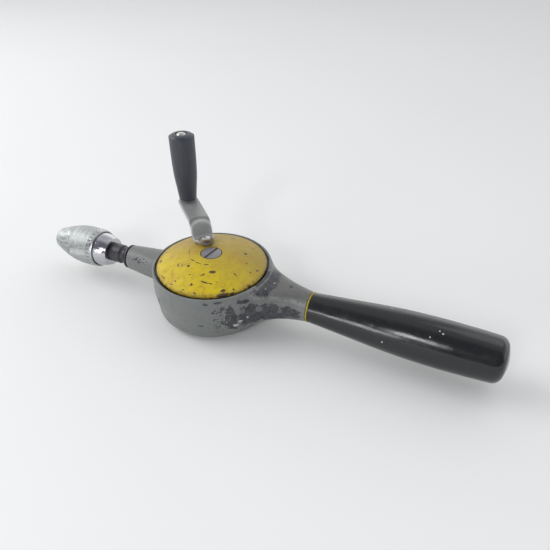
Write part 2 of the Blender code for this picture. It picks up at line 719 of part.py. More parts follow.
def make_jaw_cone(material):
    """A hardened cone that the sleeve carries along the axis without dragging the jaws round."""
    outline = [
        (cone_radius(CONE_BACK_X), CONE_BACK_X),
        (cone_radius(CONE_BACK_X) + CONE_WALL, CONE_BACK_X),
        (cone_radius(CONE_FRONT_X) + CONE_WALL, CONE_FRONT_X),
        (cone_radius(CONE_FRONT_X), CONE_FRONT_X),
    ]
    on_spindle(turned("jaw_cone", outline, material, ROUND, along_x=True))


def jaw_ring(x):
    """Section of a jaw that points to +Z: a narrow gripping face inside and a narrow back outside."""
    drop = 0.45 * MM
    inner = JAW_OPEN_RADIUS
    grip = 0.35 * MM
    flank = inner + (JAW_HALF_WIDTH - grip) / math.tan(math.radians(60))
    back = min(CHUCK_BARREL_RADIUS - 0.1 * MM, cone_radius(x) - GAP / math.cos(math.atan(CONE_SLOPE)))
    half = [(grip, inner), (JAW_HALF_WIDTH, flank), (JAW_HALF_WIDTH, back - drop), (0.7 * MM, back)]
    mirrored = [(-y, z) for y, z in reversed(half)]
    return [(x, y, z) for y, z in [*half, *mirrored]]


def make_jaws(material):
    shoulder_x = CONE_FRONT_X - (CHUCK_BARREL_RADIUS - 0.1 * MM + GAP - CONE_FRONT_RADIUS) / CONE_SLOPE
    stations = (CHUCK_FACE_X + GAP, shoulder_x, JAW_FRONT_X)
    for i in range(JAW_COUNT):
        turn = Matrix.Rotation(math.tau * i / JAW_COUNT, 4, "X")
        jaw = new_object(f"jaw_{i + 1}", lofted([jaw_ring(x) for x in stations]), material, sharp=20.0)
        jaw.data.transform(turn)
        on_spindle(jaw)
        spring = make_jaw_spring(f"jaw_spring_{i + 1}", material)
        spring.data.transform(turn @ Matrix.Rotation(math.tau / 2 / JAW_COUNT, 4, "X"))
        on_spindle(spring)


def make_jaw_spring(name, material):
    """A small coil between two jaws. It pushes them apart when the sleeve is unscrewed."""
    turns = 5
    steps = 6 * turns
    length = 8.4 * MM
    offset = 6.6 * MM
    coil_radius = 1.0 * MM
    wire = 0.22 * MM
    rings = []
    for i in range(steps + 1):
        a = math.tau * turns * i / steps
        center = Vector((SPRING_X, length * (i / steps - 0.5), offset))
        outward = Vector((math.cos(a), 0.0, math.sin(a)))
        along = Vector((0.0, 1.0, 0.0))
        ring = []
        for k in range(4):
            b = math.tau * k / 4
            ring.append(center + outward * (coil_radius + wire * math.cos(b)) + along * wire * math.sin(b))
        rings.append(ring)
    return new_object(name, lofted(rings), material)


# --- crank -----------------------------------------------------------------------------------


def arm_centerline():
    """(distance from the crank's axis, height) of the strip's middle, from its foot to its end."""
    half = ARM_THICKNESS / 2
    direction = Vector((math.cos(FOOT_TILT), -math.sin(FOOT_TILT)))
    lift = (GAP + half) / math.cos(FOOT_TILT)
    foot_start = Vector((RIVET_POSITION - FOOT_RADIUS, 0.0))
    foot_start.y = dome_z(FOOT_TOUCH) + lift + (FOOT_TOUCH - foot_start.x) * math.tan(FOOT_TILT)
    top = ARM_TOP_Z - half
    rise = Vector((math.cos(ARM_RISE_ANGLE), math.sin(ARM_RISE_ANGLE)))
    knee = Vector((ARM_KNEE_RADIUS, top))
    slope = direction.y / direction.x
    drop = (knee.y - foot_start.y - slope * (knee.x - foot_start.x)) / (rise.y - slope * rise.x)
    heel = knee - rise * drop
    end = Vector((CRANK_RADIUS + ARM_WIDTH / 2, top))
    foot = spread(foot_start, heel - direction * 2.4 * MM, 9)
    riser = spread(heel + rise * 2.4 * MM, knee - rise * 2.6 * MM, 2)
    run = spread(knee + Vector((2.6 * MM, 0)), Vector((CRANK_RADIUS, top)), 2)
    tip = rounded_stations(Vector((CRANK_RADIUS, top)), end, 8)
    heel_bend = bend(foot[-1], heel, riser[0], 5)
    knee_bend = bend(riser[-1], knee, run[0], 5)
    return [*foot, *heel_bend, *riser, *knee_bend, *run[:-1], *tip]


def spread(start, end, count):
    return [start.lerp(end, i / (count - 1)) for i in range(count)]


def rounded_stations(start, end, count):
    """Stations that crowd towards end, as a round tip needs."""
    return [start.lerp(end, math.sin(math.pi / 2 * i / count)) for i in range(count + 1)]


def bend(start, corner, end, count):
    """Points of a smooth bend between start and end, both left out."""
    points = []
    for i in range(1, count):
        t = i / count
        points.append(start * (1 - t) ** 2 + corner * 2 * t * (1 - t) + end * t**2)
    return points


def arm_half_width(station):
    """The strip narrows to a round tongue under the rivet's head and ends in a half circle."""
    half = ARM_WIDTH / 2
    past = station.x - CRANK_RADIUS
    if past > 0:
        return math.sqrt(max(half**2 - past**2, (0.35 * MM) ** 2))
    before = RIVET_POSITION - station.x
    if before > 0:
        return math.sqrt(max(FOOT_RADIUS**2 - before**2, (0.6 * MM) ** 2))
    blend = min(1.0, -before / (6.0 * MM))
    blend = blend * blend * (3 - 2 * blend)
    return FOOT_RADIUS + (half - FOOT_RADIUS) * blend


def make_crank_arm(material):
    stations = arm_centerline()
    rings = []
    for i, station in enumerate(stations):
        before = stations[max(i - 1, 0)]
        after = stations[min(i + 1, len(stations) - 1)]
        along = (after - before).normalized()
        normal = Vector((-along.y, along.x)) * ARM_THICKNESS / 2
        half = arm_half_width(station)
        top = station + normal
        low = station - normal
        ring = [(top.x, -half, top.y), (top.x, half, top.y), (low.x, half, low.y), (low.x, -half, low.y)]
        rings.append(ring)
    arm = new_object("crank_arm", lofted(rings), material)
    arm.data.transform(Matrix.Rotation(CRANK_ANGLE, 4, "Z"))
    pin_bore = turned_bmesh(rod_outline(PIN_SHANK_RADIUS + GAP, 48 * MM, 58 * MM), SMALL)
    bmesh.ops.translate(pin_bore, vec=knob_point(0.0), verts=pin_bore.verts)
    combine(arm, [(rivet_hole(), "DIFFERENCE"), (pin_bore, "DIFFERENCE")])


def knob_point(z):
    return (CRANK_RADIUS * math.cos(CRANK_ANGLE), CRANK_RADIUS * math.sin(CRANK_ANGLE), z)


def make_crank_rivet(material):
    """A domed rivet through the arm's foot, the cover and the gear's flange."""
    seat = 2 * GAP + ARM_THICKNESS
    half_angle = math.degrees(math.acos(RIVET_HEAD_RADIUS / RIVET_DOME_RADIUS))
    sunk = RIVET_DOME_RADIUS * math.sin(math.radians(half_angle))
    head = arc((0.0, seat - sunk), RIVET_DOME_RADIUS, half_angle, 90.0, 5)[1:]
    head[-1] = (0.0, head[-1][1])
    tail = FLANGE_Z - dome_z(RIVET_POSITION) - 2.0 * GAP
    outline = [
        (0.0, tail - 0.8 * MM),
        (RIVET_SHANK_RADIUS + 0.4 * MM, tail - 0.8 * MM),
        (RIVET_SHANK_RADIUS + 0.4 * MM, tail),
        (RIVET_SHANK_RADIUS, tail),
        (RIVET_SHANK_RADIUS, seat),
        (RIVET_HEAD_RADIUS, seat),
        *head,
    ]
    rivet = turned("crank_rivet", outline, material, SMALL)
    rivet.matrix_world = rivet_matrix()


def make_knob(plastic):
    """A tapered grip with a domed top, sunk a little where the pin is peened over."""
    waist = smooth_curve(
        [
            (KNOB_BOTTOM_RADIUS, KNOB_BOTTOM_Z + 0.4 * MM),
            (6.9 * MM, 64.0 * MM),
            (7.9 * MM, 73.0 * MM),
            (8.4 * MM, 84.0 * MM),
            (KNOB_RADIUS, KNOB_TOP_Z - 3.1 * MM),
        ],
        2,
    )
    recess_z = KNOB_TOP_Z - KNOB_RECESS_DEPTH
    outline = [
        (KNOB_BORE_RADIUS, KNOB_BOTTOM_Z),
        (KNOB_BOTTOM_RADIUS - 0.4 * MM, KNOB_BOTTOM_Z),
        *waist,
        (8.1 * MM, KNOB_TOP_Z - 1.7 * MM),
        (7.0 * MM, KNOB_TOP_Z - 0.7 * MM),
        (5.5 * MM, KNOB_TOP_Z - 0.2 * MM),
        (KNOB_RECESS_RADIUS, KNOB_TOP_Z),
        (KNOB_RECESS_RADIUS, recess_z),
        (KNOB_BORE_RADIUS, recess_z),
    ]
    turned("crank_knob", outline, plastic, ROUND).location = knob_point(0.0)


def make_knob_pin(washer_steel, bright):
    """The pin that the knob turns on, collared under the crank arm, and a washer below the knob."""
    washer = tube_outline(PIN_SHANK_RADIUS + GAP, 5.9 * MM, ARM_TOP_Z + GAP, KNOB_BOTTOM_Z - GAP)
    turned("knob_washer", washer, washer_steel, SMALL).location = knob_point(0.0)
    head_z = KNOB_TOP_Z - KNOB_RECESS_DEPTH + GAP
    collar_z = ARM_TOP_Z - ARM_THICKNESS - GAP
    head = arc((0.0, head_z - 4.0 * MM), 5.1 * MM, 52.0, 90.0, 4)
    head[-1] = (0.0, head[-1][1])
    outline = [
        (0.0, collar_z - 1.2 * MM),
        (PIN_COLLAR_RADIUS - 0.7 * MM, collar_z - 1.2 * MM),
        (PIN_COLLAR_RADIUS, collar_z),
        (PIN_SHANK_RADIUS, collar_z),
        (PIN_SHANK_RADIUS, head_z),
        (head[0][0], head_z),
        *head,
    ]
    turned("knob_pin", outline, bright, SMALL).location = knob_point(0.0)


# --- handle ----------------------------------------------------------------------------------


def make_handle(material):
    end_x = HANDLE_BACK_X + HANDLE_END_FILLET + 1.2 * MM
    side = smooth_curve(
        [
            (9.6 * MM, HANDLE_FRONT_X),
            (11.4 * MM, -92.0 * MM),
            (13.1 * MM, -112.0 * MM),
            (14.3 * MM, -130.0 * MM),
            (14.7 * MM, -150.0 * MM),
            (14.4 * MM, -167.0 * MM),
            (HANDLE_END_RADIUS, end_x),
        ],
        2,
    )
    corner = arc((HANDLE_END_RADIUS - HANDLE_END_FILLET, end_x), HANDLE_END_FILLET, 0, -70, 4)
    bore = STUD_RADIUS + GAP
    hole_end = STUD_BACK_X - 1.0 * MM
    hole = [(0.0, hole_end), (bore, hole_end), (bore, HANDLE_FRONT_X)]
    end = [(4.0 * MM, HANDLE_BACK_X + 0.15 * MM), (0.0, HANDLE_BACK_X)]
    on_spindle(turned("handle", [*hole, *side, *corner[1:], *end], material, ROUND, along_x=True))


def make_handle_joint(ring_material, steel):
    """The ring between the housing and the handle, and the stud that holds both together."""
    bore = STUD_RADIUS + GAP
    ring = tube_outline(bore, RING_RADIUS, HANDLE_FRONT_X + GAP, NECK_REAR_X - GAP)
    on_spindle(turned("handle_ring", ring, ring_material, ROUND, along_x=True))
    rod = [(STUD_RADIUS, STUD_BACK_X + 0.6 * MM), (STUD_RADIUS, STUD_FRONT_X - 0.4 * MM)]
    stud = [(0.0, STUD_BACK_X), *rod, (0.0, STUD_FRONT_X)]
    on_spindle(turned("handle_stud", stud, steel, SMALL, along_x=True))


def clear_scene():
    for obj in list(bpy.data.objects):
        bpy.data.objects.remove(obj)


def main():
    clear_scene()
    finishes = make_finishes()
    make_housing(finishes["grey_paint"])
    make_bushes(finishes["bronze"])
    make_thrust_ball(finishes["bright_steel"])
    make_pivot(finishes["bright_steel"], finishes["bronze"])
    make_pivot_screw(finishes["plated_steel"])
    make_cover(finishes["yellow_paint"])
    make_drive_gear(finishes["cast_iron"], finishes["bronze"])
    make_pinion(finishes["bright_steel"])
    make_pinion_pin(finishes["bright_steel"])
    make_spindle(finishes["black_steel"], finishes["bronze"])
    make_chuck_body(finishes["chrome"])
    make_chuck_sleeve(finishes["satin_chrome"])
    make_jaw_cone(finishes["bright_steel"])
    make_jaws(finishes["bright_steel"])
    make_crank_arm(finishes["plated_steel"])
    make_crank_rivet(finishes["bright_steel"])
    make_knob(finishes["black_plastic"])
    make_knob_pin(finishes["plated_steel"], finishes["bright_steel"])
    make_handle(finishes["black_gloss"])
    make_handle_joint(finishes["yellow_ring"], finishes["bright_steel"])


main()
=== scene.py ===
"""Looks for the hand drill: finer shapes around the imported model, and what each surface is made of.

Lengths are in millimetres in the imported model's frame, and make_piece turns them into metres. +X runs
along the spindle towards the chuck and +Z along the crank's axis. A piece's mesh is made in place, so
its Object coordinates are that frame.
"""

import json
import math

import bmesh
import bpy
import numpy as np
from mathutils import Matrix, Vector, noise


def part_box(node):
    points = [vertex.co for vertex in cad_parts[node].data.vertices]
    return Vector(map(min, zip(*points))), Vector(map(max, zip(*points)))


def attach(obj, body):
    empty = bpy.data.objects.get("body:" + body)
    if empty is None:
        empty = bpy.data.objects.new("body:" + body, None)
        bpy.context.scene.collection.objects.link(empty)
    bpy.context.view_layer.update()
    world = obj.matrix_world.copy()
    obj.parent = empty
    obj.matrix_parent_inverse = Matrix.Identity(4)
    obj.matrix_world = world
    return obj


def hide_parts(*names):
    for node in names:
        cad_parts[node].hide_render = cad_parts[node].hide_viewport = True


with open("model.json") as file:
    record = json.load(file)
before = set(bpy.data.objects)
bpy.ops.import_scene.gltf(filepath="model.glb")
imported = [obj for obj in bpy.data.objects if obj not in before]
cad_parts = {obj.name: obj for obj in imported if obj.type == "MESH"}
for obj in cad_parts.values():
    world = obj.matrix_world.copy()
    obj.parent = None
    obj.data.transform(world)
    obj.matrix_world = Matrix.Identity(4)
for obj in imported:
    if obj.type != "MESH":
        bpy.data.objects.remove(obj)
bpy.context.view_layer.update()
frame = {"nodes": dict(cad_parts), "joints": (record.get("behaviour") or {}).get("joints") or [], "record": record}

MM = 0.001


# --- sizes read from the frame ---


def box(node):
    """A node's lowest and highest corner."""
    return [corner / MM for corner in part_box(node)]


def joint_point(name):
    return Vector(next(joint for joint in frame["joints"] if joint["name"] == name)["pos_m"]) / MM


SPINDLE_Z = joint_point("spindle_spin").z
KNOB_AXIS = joint_point("knob_spin")
CRANK_ANGLE = math.atan2(KNOB_AXIS.y, KNOB_AXIS.x)
CRANK_RADIUS = math.hypot(KNOB_AXIS.x, KNOB_AXIS.y)

NECK_REAR_X = box("housing")[0].x
NECK_FRONT_X = box("housing")[1].x
DRUM_RADIUS = box("housing")[1].y
RIM_Z = box("housing")[1].z

COVER_RADIUS = box("cover_disc")[1].x
COVER_THICKNESS = 1.8
COVER_EDGE_Z = box("cover_disc")[0].z + COVER_THICKNESS
COVER_RISE = 8.2
COVER_APEX_Z = COVER_EDGE_Z + COVER_RISE
DOME_RADIUS = (COVER_RADIUS**2 + COVER_RISE**2) / (2 * COVER_RISE)
SCREW_RADIUS = box("pivot_screw")[1].x

ARM_TOP_Z = box("crank_arm")[1].z
ARM_THICKNESS = 2.4
ARM_WIDTH = 14.3
RIVET_POSITION = 11.5  # its distance from the crank's axis
NOSE_X = 114.0  # the plain nose of the chuck's sleeve starts here


# --- outlines ---


def smooth_curve(points, steps):
    """A Catmull-Rom curve through the points."""
    ends = [points[0], *points, points[-1]]
    curve = []
    for i in range(1, len(ends) - 2):
        p0, p1, p2, p3 = (np.array(p, float) for p in ends[i - 1 : i + 3])
        for k in range(steps):
            t = k / steps
            place = 2 * p1 + (p2 - p0) * t + (2 * p0 - 5 * p1 + 4 * p2 - p3) * t**2
            place += (3 * p1 - p0 - 3 * p2 + p3) * t**3
            curve.append(tuple(place / 2))
    return [*curve, tuple(points[-1])]


def bend(start, corner, end, steps):
    """Points of a smooth bend from start to end, which leaves both towards the corner."""
    shares = [k / steps for k in range(steps + 1)]
    return [start * (1 - t) ** 2 + corner * 2 * t * (1 - t) + end * t**2 for t in shares]


def filleted(corners, closed=False, steps=5):
    """Points of an outline whose corners, each (radius, height, fillet), are rounded."""
    count = len(corners)
    points = []
    for i, (radius, height, fillet) in enumerate(corners):
        here = Vector((radius, height))
        at_end = not closed and i in (0, count - 1)
        if at_end or fillet == 0:
            points.append(tuple(here))
            continue
        before = (Vector(corners[i - 1][:2]) - here).normalized()
        after = (Vector(corners[(i + 1) % count][:2]) - here).normalized()
        reach = fillet / math.tan(before.angle(after) / 2)
        points += map(tuple, bend(here + before * reach, here, here + after * reach, steps))
    return points


def between(one, two, shares):
    """Points at some shares of the way from one to two."""
    return [(one[0] + (two[0] - one[0]) * t, one[1] + (two[1] - one[1]) * t) for t in shares]


def evened(points, step):
    """The same outline with its long stretches cut into lengths of about step."""
    result = []
    for one, two in zip(points, points[1:]):
        cuts = max(1, round(math.dist(one, two) / step))
        result += between(one, two, [k / cuts for k in range(cuts)])
    return [*result, points[-1]]


# --- meshes ---

MERGE_REACH = 0.0001


def make_piece(name, points, faces, body, slot, node, finish=None, sharp=40.0):
    """A closed mesh that rides on a body and stands for one of the model's nodes.

    It wears its slot's finish or one of its own. Edges bent by more than sharp degrees stay sharp.
    """
    mesh = bpy.data.meshes.new(name)
    places = np.asarray(points) * MM
    mesh.from_pydata([tuple(place) for place in places], [], [tuple(face) for face in faces])
    bm = bmesh.new()
    bm.from_mesh(mesh)
    bmesh.ops.remove_doubles(bm, verts=bm.verts, dist=MERGE_REACH * MM)
    bmesh.ops.recalc_face_normals(bm, faces=bm.faces)
    bm.to_mesh(mesh)
    bm.free()
    mesh.shade_smooth()
    mesh.set_sharp_from_angle(angle=math.radians(sharp))
    mesh.materials.append(finishes[finish or slot])
    piece = bpy.data.objects.new(name, mesh)
    bpy.context.scene.collection.objects.link(piece)
    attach(piece, body)
    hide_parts(node)
    return piece


def lathe(outline, segments, closed=False):
    """(points, faces) of an outline of (radius, height) turned about +Z. A radius of 0 is a pole."""
    angles = np.arange(segments) * math.tau / segments
    points, rings = [], []
    for radius, height in outline:
        if radius < 1e-9:
            rings.append([len(points)] * segments)
            points.append((0.0, 0.0, height))
        else:
            rings.append(list(range(len(points), len(points) + segments)))
            points += [(radius * math.cos(a), radius * math.sin(a), height) for a in angles]
    return np.array(points), skin(rings, closed)


def washer(bore, radius, low, high, fillet, segments):
    """(points, faces) of a flat ring about +Z whose outer edges are rounded by a fillet."""
    outline = [(bore, low, 0.1), (radius, low, fillet), (radius, high, fillet), (bore, high, 0.1)]
    return lathe(filleted(outline, closed=True), segments, closed=True)


def skin(rings, closed=False):
    """Faces between neighbouring rings of point numbers."""
    pairs = list(zip(rings, rings[1:]))
    if closed:
        pairs.append((rings[-1], rings[0]))
    faces = []
    for one, two in pairs:
        for i in range(len(one)):
            j = (i + 1) % len(one)
            corners = [one[i], one[j], two[j], two[i]]
            face = [corner for k, corner in enumerate(corners) if corner != corners[k - 1]]
            if len(face) > 2:
                faces.append(face)
    return faces


def along_spindle(points):
    """Turns points made about +Z so that their +Z runs along the spindle's axis."""
    x, y, z = np.asarray(points).T
    return np.stack([z, -y, x + SPINDLE_Z], -1)


def at_knob(points):
    return np.asarray(points) + np.array([KNOB_AXIS.x, KNOB_AXIS.y, 0.0])


def lofted(rings):
    """(points, faces) of a closed skin over rings of points, with a fan on each end."""
    count = len(rings[0])
    points = [point for ring in rings for point in ring]
    numbers = [list(range(i * count, (i + 1) * count)) for i in range(len(rings))]
    points += [np.mean(rings[0], axis=0), np.mean(rings[-1], axis=0)]
    first, last = len(points) - 2, len(points) - 1
    numbers = [[first] * count, *numbers, [last] * count]
    return np.array(points), skin(numbers)


def rough(points, size, amount, seed=0.0):
    """Smooth random heights of about plus or minus amount, one for each point."""
    shift = Vector((seed, seed * 1.7, seed * 0.6))
    return np.array([noise.noise(Vector(p) / size + shift) for p in points]) * amount


# --- a surface from a field ---

SLOPE_REACH = 0.02  # how far to each side a field is read to find its slope
SETTLE_ROUNDS = 4
STEEP_LEAST = 0.05  # keeps the moves small where a field is almost flat


def round_max(a, b, radius):
    """The intersection of two solids, with its edge rounded to a radius."""
    u, v = a + radius, b + radius
    outside = np.hypot(np.maximum(u, 0), np.maximum(v, 0))
    return np.minimum(np.maximum(u, v), 0) + outside - radius


def round_min(a, b, radius):
    """The union of two solids, with a fillet of a radius in its corner."""
    return -round_max(-a, -b, radius)


def surface_net(field, low, high, step):
    """(points, faces) where a field is zero: one point in every cell of a grid that it crosses."""
    axes = [np.arange(a, b + step, step) for a, b in zip(low, high)]
    grid = np.stack(np.meshgrid(*axes, indexing="ij"), -1)
    value = field(grid.reshape(-1, 3)).reshape(grid.shape[:3])
    cells = [n - 1 for n in value.shape]
    total = np.zeros((*cells, 3))
    hits = np.zeros(cells)
    for axis in range(3):
        others = [i for i in range(3) if i != axis]
        for b, c in ((0, 0), (0, 1), (1, 0), (1, 1)):
            start = [0, 0, 0]
            start[others[0]], start[others[1]] = b, c
            near = value[tuple(slice(s, s + n) for s, n in zip(start, cells))]
            start[axis] = 1
            far = value[tuple(slice(s, s + n) for s, n in zip(start, cells))]
            crossed = (near < 0) != (far < 0)
            place = np.zeros((*cells, 3))
            place[..., others[0]], place[..., others[1]] = b, c
            place[..., axis] = near / np.where(crossed, near - far, 1.0)
            total += place * crossed[..., None]
            hits += crossed
    mixed = hits > 0
    number = np.full(cells, -1)
    number[mixed] = np.arange(mixed.sum())
    points = np.array(low) + (np.argwhere(mixed) + total[mixed] / hits[mixed][:, None]) * step
    faces = []
    for axis in range(3):
        others = [i for i in range(3) if i != axis]
        edges = np.diff(value < 0, axis=axis)
        inner = [slice(None)] * 3
        inner[others[0]] = inner[others[1]] = slice(1, -1)
        at = np.argwhere(edges[tuple(inner)])
        at[:, others] += 1
        quad = []
        for b, c in ((-1, -1), (0, -1), (0, 0), (-1, 0)):
            cell = at.copy()
            cell[:, others[0]] += b
            cell[:, others[1]] += c
            quad.append(number[tuple(cell.T)])
        faces.append(np.stack(quad, -1))
    return points, np.concatenate(faces)


def settle(field, points, faces, step):
    """Evens the points out along the surface and puts them exactly on it."""
    count = len(points)
    pairs = np.concatenate([faces[:, [i, (i + 1) % 4]] for i in range(4)])
    pairs = np.concatenate([pairs, pairs[:, ::-1]])
    degree = np.bincount(pairs[:, 0], minlength=count)[:, None]
    for _ in range(SETTLE_ROUNDS):
        mean = np.stack([np.bincount(pairs[:, 0], points[pairs[:, 1], k], count) for k in range(3)], -1)
        points = points * 0.5 + 0.5 * mean / degree
        for _ in range(2):
            points = onto_surface(field, points, step)
    return points


def slope_of(field, points):
    shifts = np.eye(3) * SLOPE_REACH
    parts = [(field(points + shift) - field(points - shift)) / (2 * SLOPE_REACH) for shift in shifts]
    return np.stack(parts, -1)


def onto_surface(field, points, step):
    slope = slope_of(field, points)
    steep = np.maximum((slope**2).sum(-1), STEEP_LEAST)
    move = slope * (field(points) / steep)[:, None]
    size = np.linalg.norm(move, axis=-1, keepdims=True)
    return points - move * np.minimum(1.0, step / np.maximum(size, 1e-12))


# --- finishes ---


def seen(red, green, blue):
    """A colour as the eye reads it, 0 to 255, as a linear colour."""
    parts = [c / 255 for c in (red, green, blue)]
    linear = [c / 12.92 if c <= 0.04045 else ((c + 0.055) / 1.055) ** 2.4 for c in parts]
    return (*linear, 1.0)


class Nodes:
    """Short calls that add nodes to a tree."""

    def __init__(self, tree):
        self.tree = tree

    def put(self, socket, value):
        if isinstance(value, bpy.types.NodeSocket):
            self.tree.links.new(value, socket)
        else:
            socket.default_value = value

    def add(self, kind, inputs=(), **settings):
        node = self.tree.nodes.new("ShaderNode" + kind)
        for name, value in settings.items():
            setattr(node, name, value)
        for key, value in dict(inputs).items():
            self.put(node.inputs[key], value)
        return node

    def math(self, operation, a, b):
        return self.add("Math", {0: a, 1: b}, operation=operation).outputs[0]

    def times(self, a, b):
        return self.math("MULTIPLY", a, b)

    def plus(self, a, b):
        return self.math("ADD", a, b)

    def most(self, a, b):
        return self.math("MAXIMUM", a, b)

    def rest(self, a):
        return self.math("SUBTRACT", 1.0, a)

    def vector(self, operation, a, b=(0.0, 0.0, 0.0)):
        node = self.add("VectorMath", {0: a, 1: b}, operation=operation)
        return node.outputs["Value" if operation == "LENGTH" else "Vector"]

    def axes(self, vector):
        """The vector's parts, by name: X, Y and Z."""
        return self.add("SeparateXYZ", {0: vector}).outputs

    def fade(self, value, low, high, to_low=0.0, to_high=1.0):
        """Goes smoothly from to_low to to_high as value goes from low to high."""
        inputs = {"Value": value, "From Min": low, "From Max": high}
        inputs |= {"To Min": to_low, "To Max": to_high}
        return self.add("MapRange", inputs, interpolation_type="SMOOTHSTEP").outputs["Result"]

    def mix(self, factor, a, b):
        """A mix of two colours: sockets, linear ones with an alpha, or 0 to 255 as the eye reads them."""
        node = self.add("Mix", {"Factor": factor}, data_type="RGBA")
        colors = [socket for socket in node.inputs if socket.type == "RGBA"]
        for socket, color in zip(colors, (a, b)):
            as_seen = isinstance(color, tuple) and len(color) == 3
            self.put(socket, seen(*color) if as_seen else color)
        return next(socket for socket in node.outputs if socket.type == "RGBA")

    def tint(self, color, value, low, high, most, other):
        """The colour, turning to another by up to most as value goes from low to high."""
        return self.mix(self.fade(value, low, high, 0.0, most), color, other)


class Finish(Nodes):
    """A material with one Principled shader. Its patterns' sizes are in millimetres."""

    def __init__(self, name, **sockets):
        self.material = bpy.data.materials.new(name)
        self.material.use_nodes = True
        super().__init__(self.material.node_tree)
        self.shader = self.tree.nodes["Principled BSDF"]
        self.wear(**sockets)
        self.place = self.vector("MULTIPLY", self.add("TexCoord").outputs["Object"], (1 / MM,) * 3)

    def wear(self, **sockets):
        """Sets or links the shader's sockets, named with _ for a space, and returns the material."""
        for name, value in sockets.items():
            self.put(self.shader.inputs[name.replace("_", " ")], value)
        return self.material

    def stretched(self, x, y, z):
        """Coordinates in which a pattern is drawn out by these factors."""
        return self.vector("MULTIPLY", self.place, (1 / x, 1 / y, 1 / z))

    def noise(self, size, detail=3.0, roughness=0.5, at=None, twist=0.0):
        inputs = {"Vector": at or self.place, "Scale": 1 / size, "Detail": detail}
        inputs |= {"Roughness": roughness, "Distortion": twist}
        return self.add("TexNoise", inputs).outputs["Fac"]

    def ragged(self, amount, size, detail=3.0):
        """Coordinates pushed about by up to amount, which makes smooth outlines ragged."""
        inputs = {"Vector": self.place, "Scale": 1 / size, "Detail": detail}
        color = self.add("TexNoise", inputs).outputs["Color"]
        push = self.vector("MULTIPLY", self.vector("SUBTRACT", color, (0.5,) * 3), (2 * amount,) * 3)
        return self.vector("ADD", self.place, push)

    def spot(self, center, radii, turn=0.0, at=None):
        """Distance from the middle of an ellipsoid turned about +Z by some degrees, 1 at its surface."""
        inputs = {"Vector": at or self.place, "Location": center, "Scale": radii}
        inputs["Rotation"] = (0.0, 0.0, math.radians(turn))
        return self.vector("LENGTH", self.add("Mapping", inputs, vector_type="TEXTURE").outputs["Vector"])

    def patches(self, rows, at, outer, inner, most=1.0):
        """0 to most inside any of some ellipsoids, whose rows are x, y, z and three radii."""
        return self.nearest([self.spot(row[:3], row[3:], at=at) for row in rows], outer, inner, most)

    def flecks(self, rows, at, height):
        """1 inside any of some long flecks at a height: x, y, two half sizes and a turn in degrees."""
        tall = 12.0
        spots = [self.spot((x, y, height), (a, b, tall), turn, at) for x, y, a, b, turn in rows]
        return self.nearest(spots, 1.1, 0.9)

    def nearest(self, distances, outer, inner, most=1.0):
        result = distances[0]
        for distance in distances[1:]:
            result = self.math("MINIMUM", result, distance)
        return self.fade(result, outer, inner, 0.0, most)

    def bump(self, height, depth, under=None):
        inputs = {"Height": height, "Distance": depth * MM, "Strength": 1.0}
        if under:
            inputs["Normal"] = under
        return self.add("Bump", inputs).outputs["Normal"]


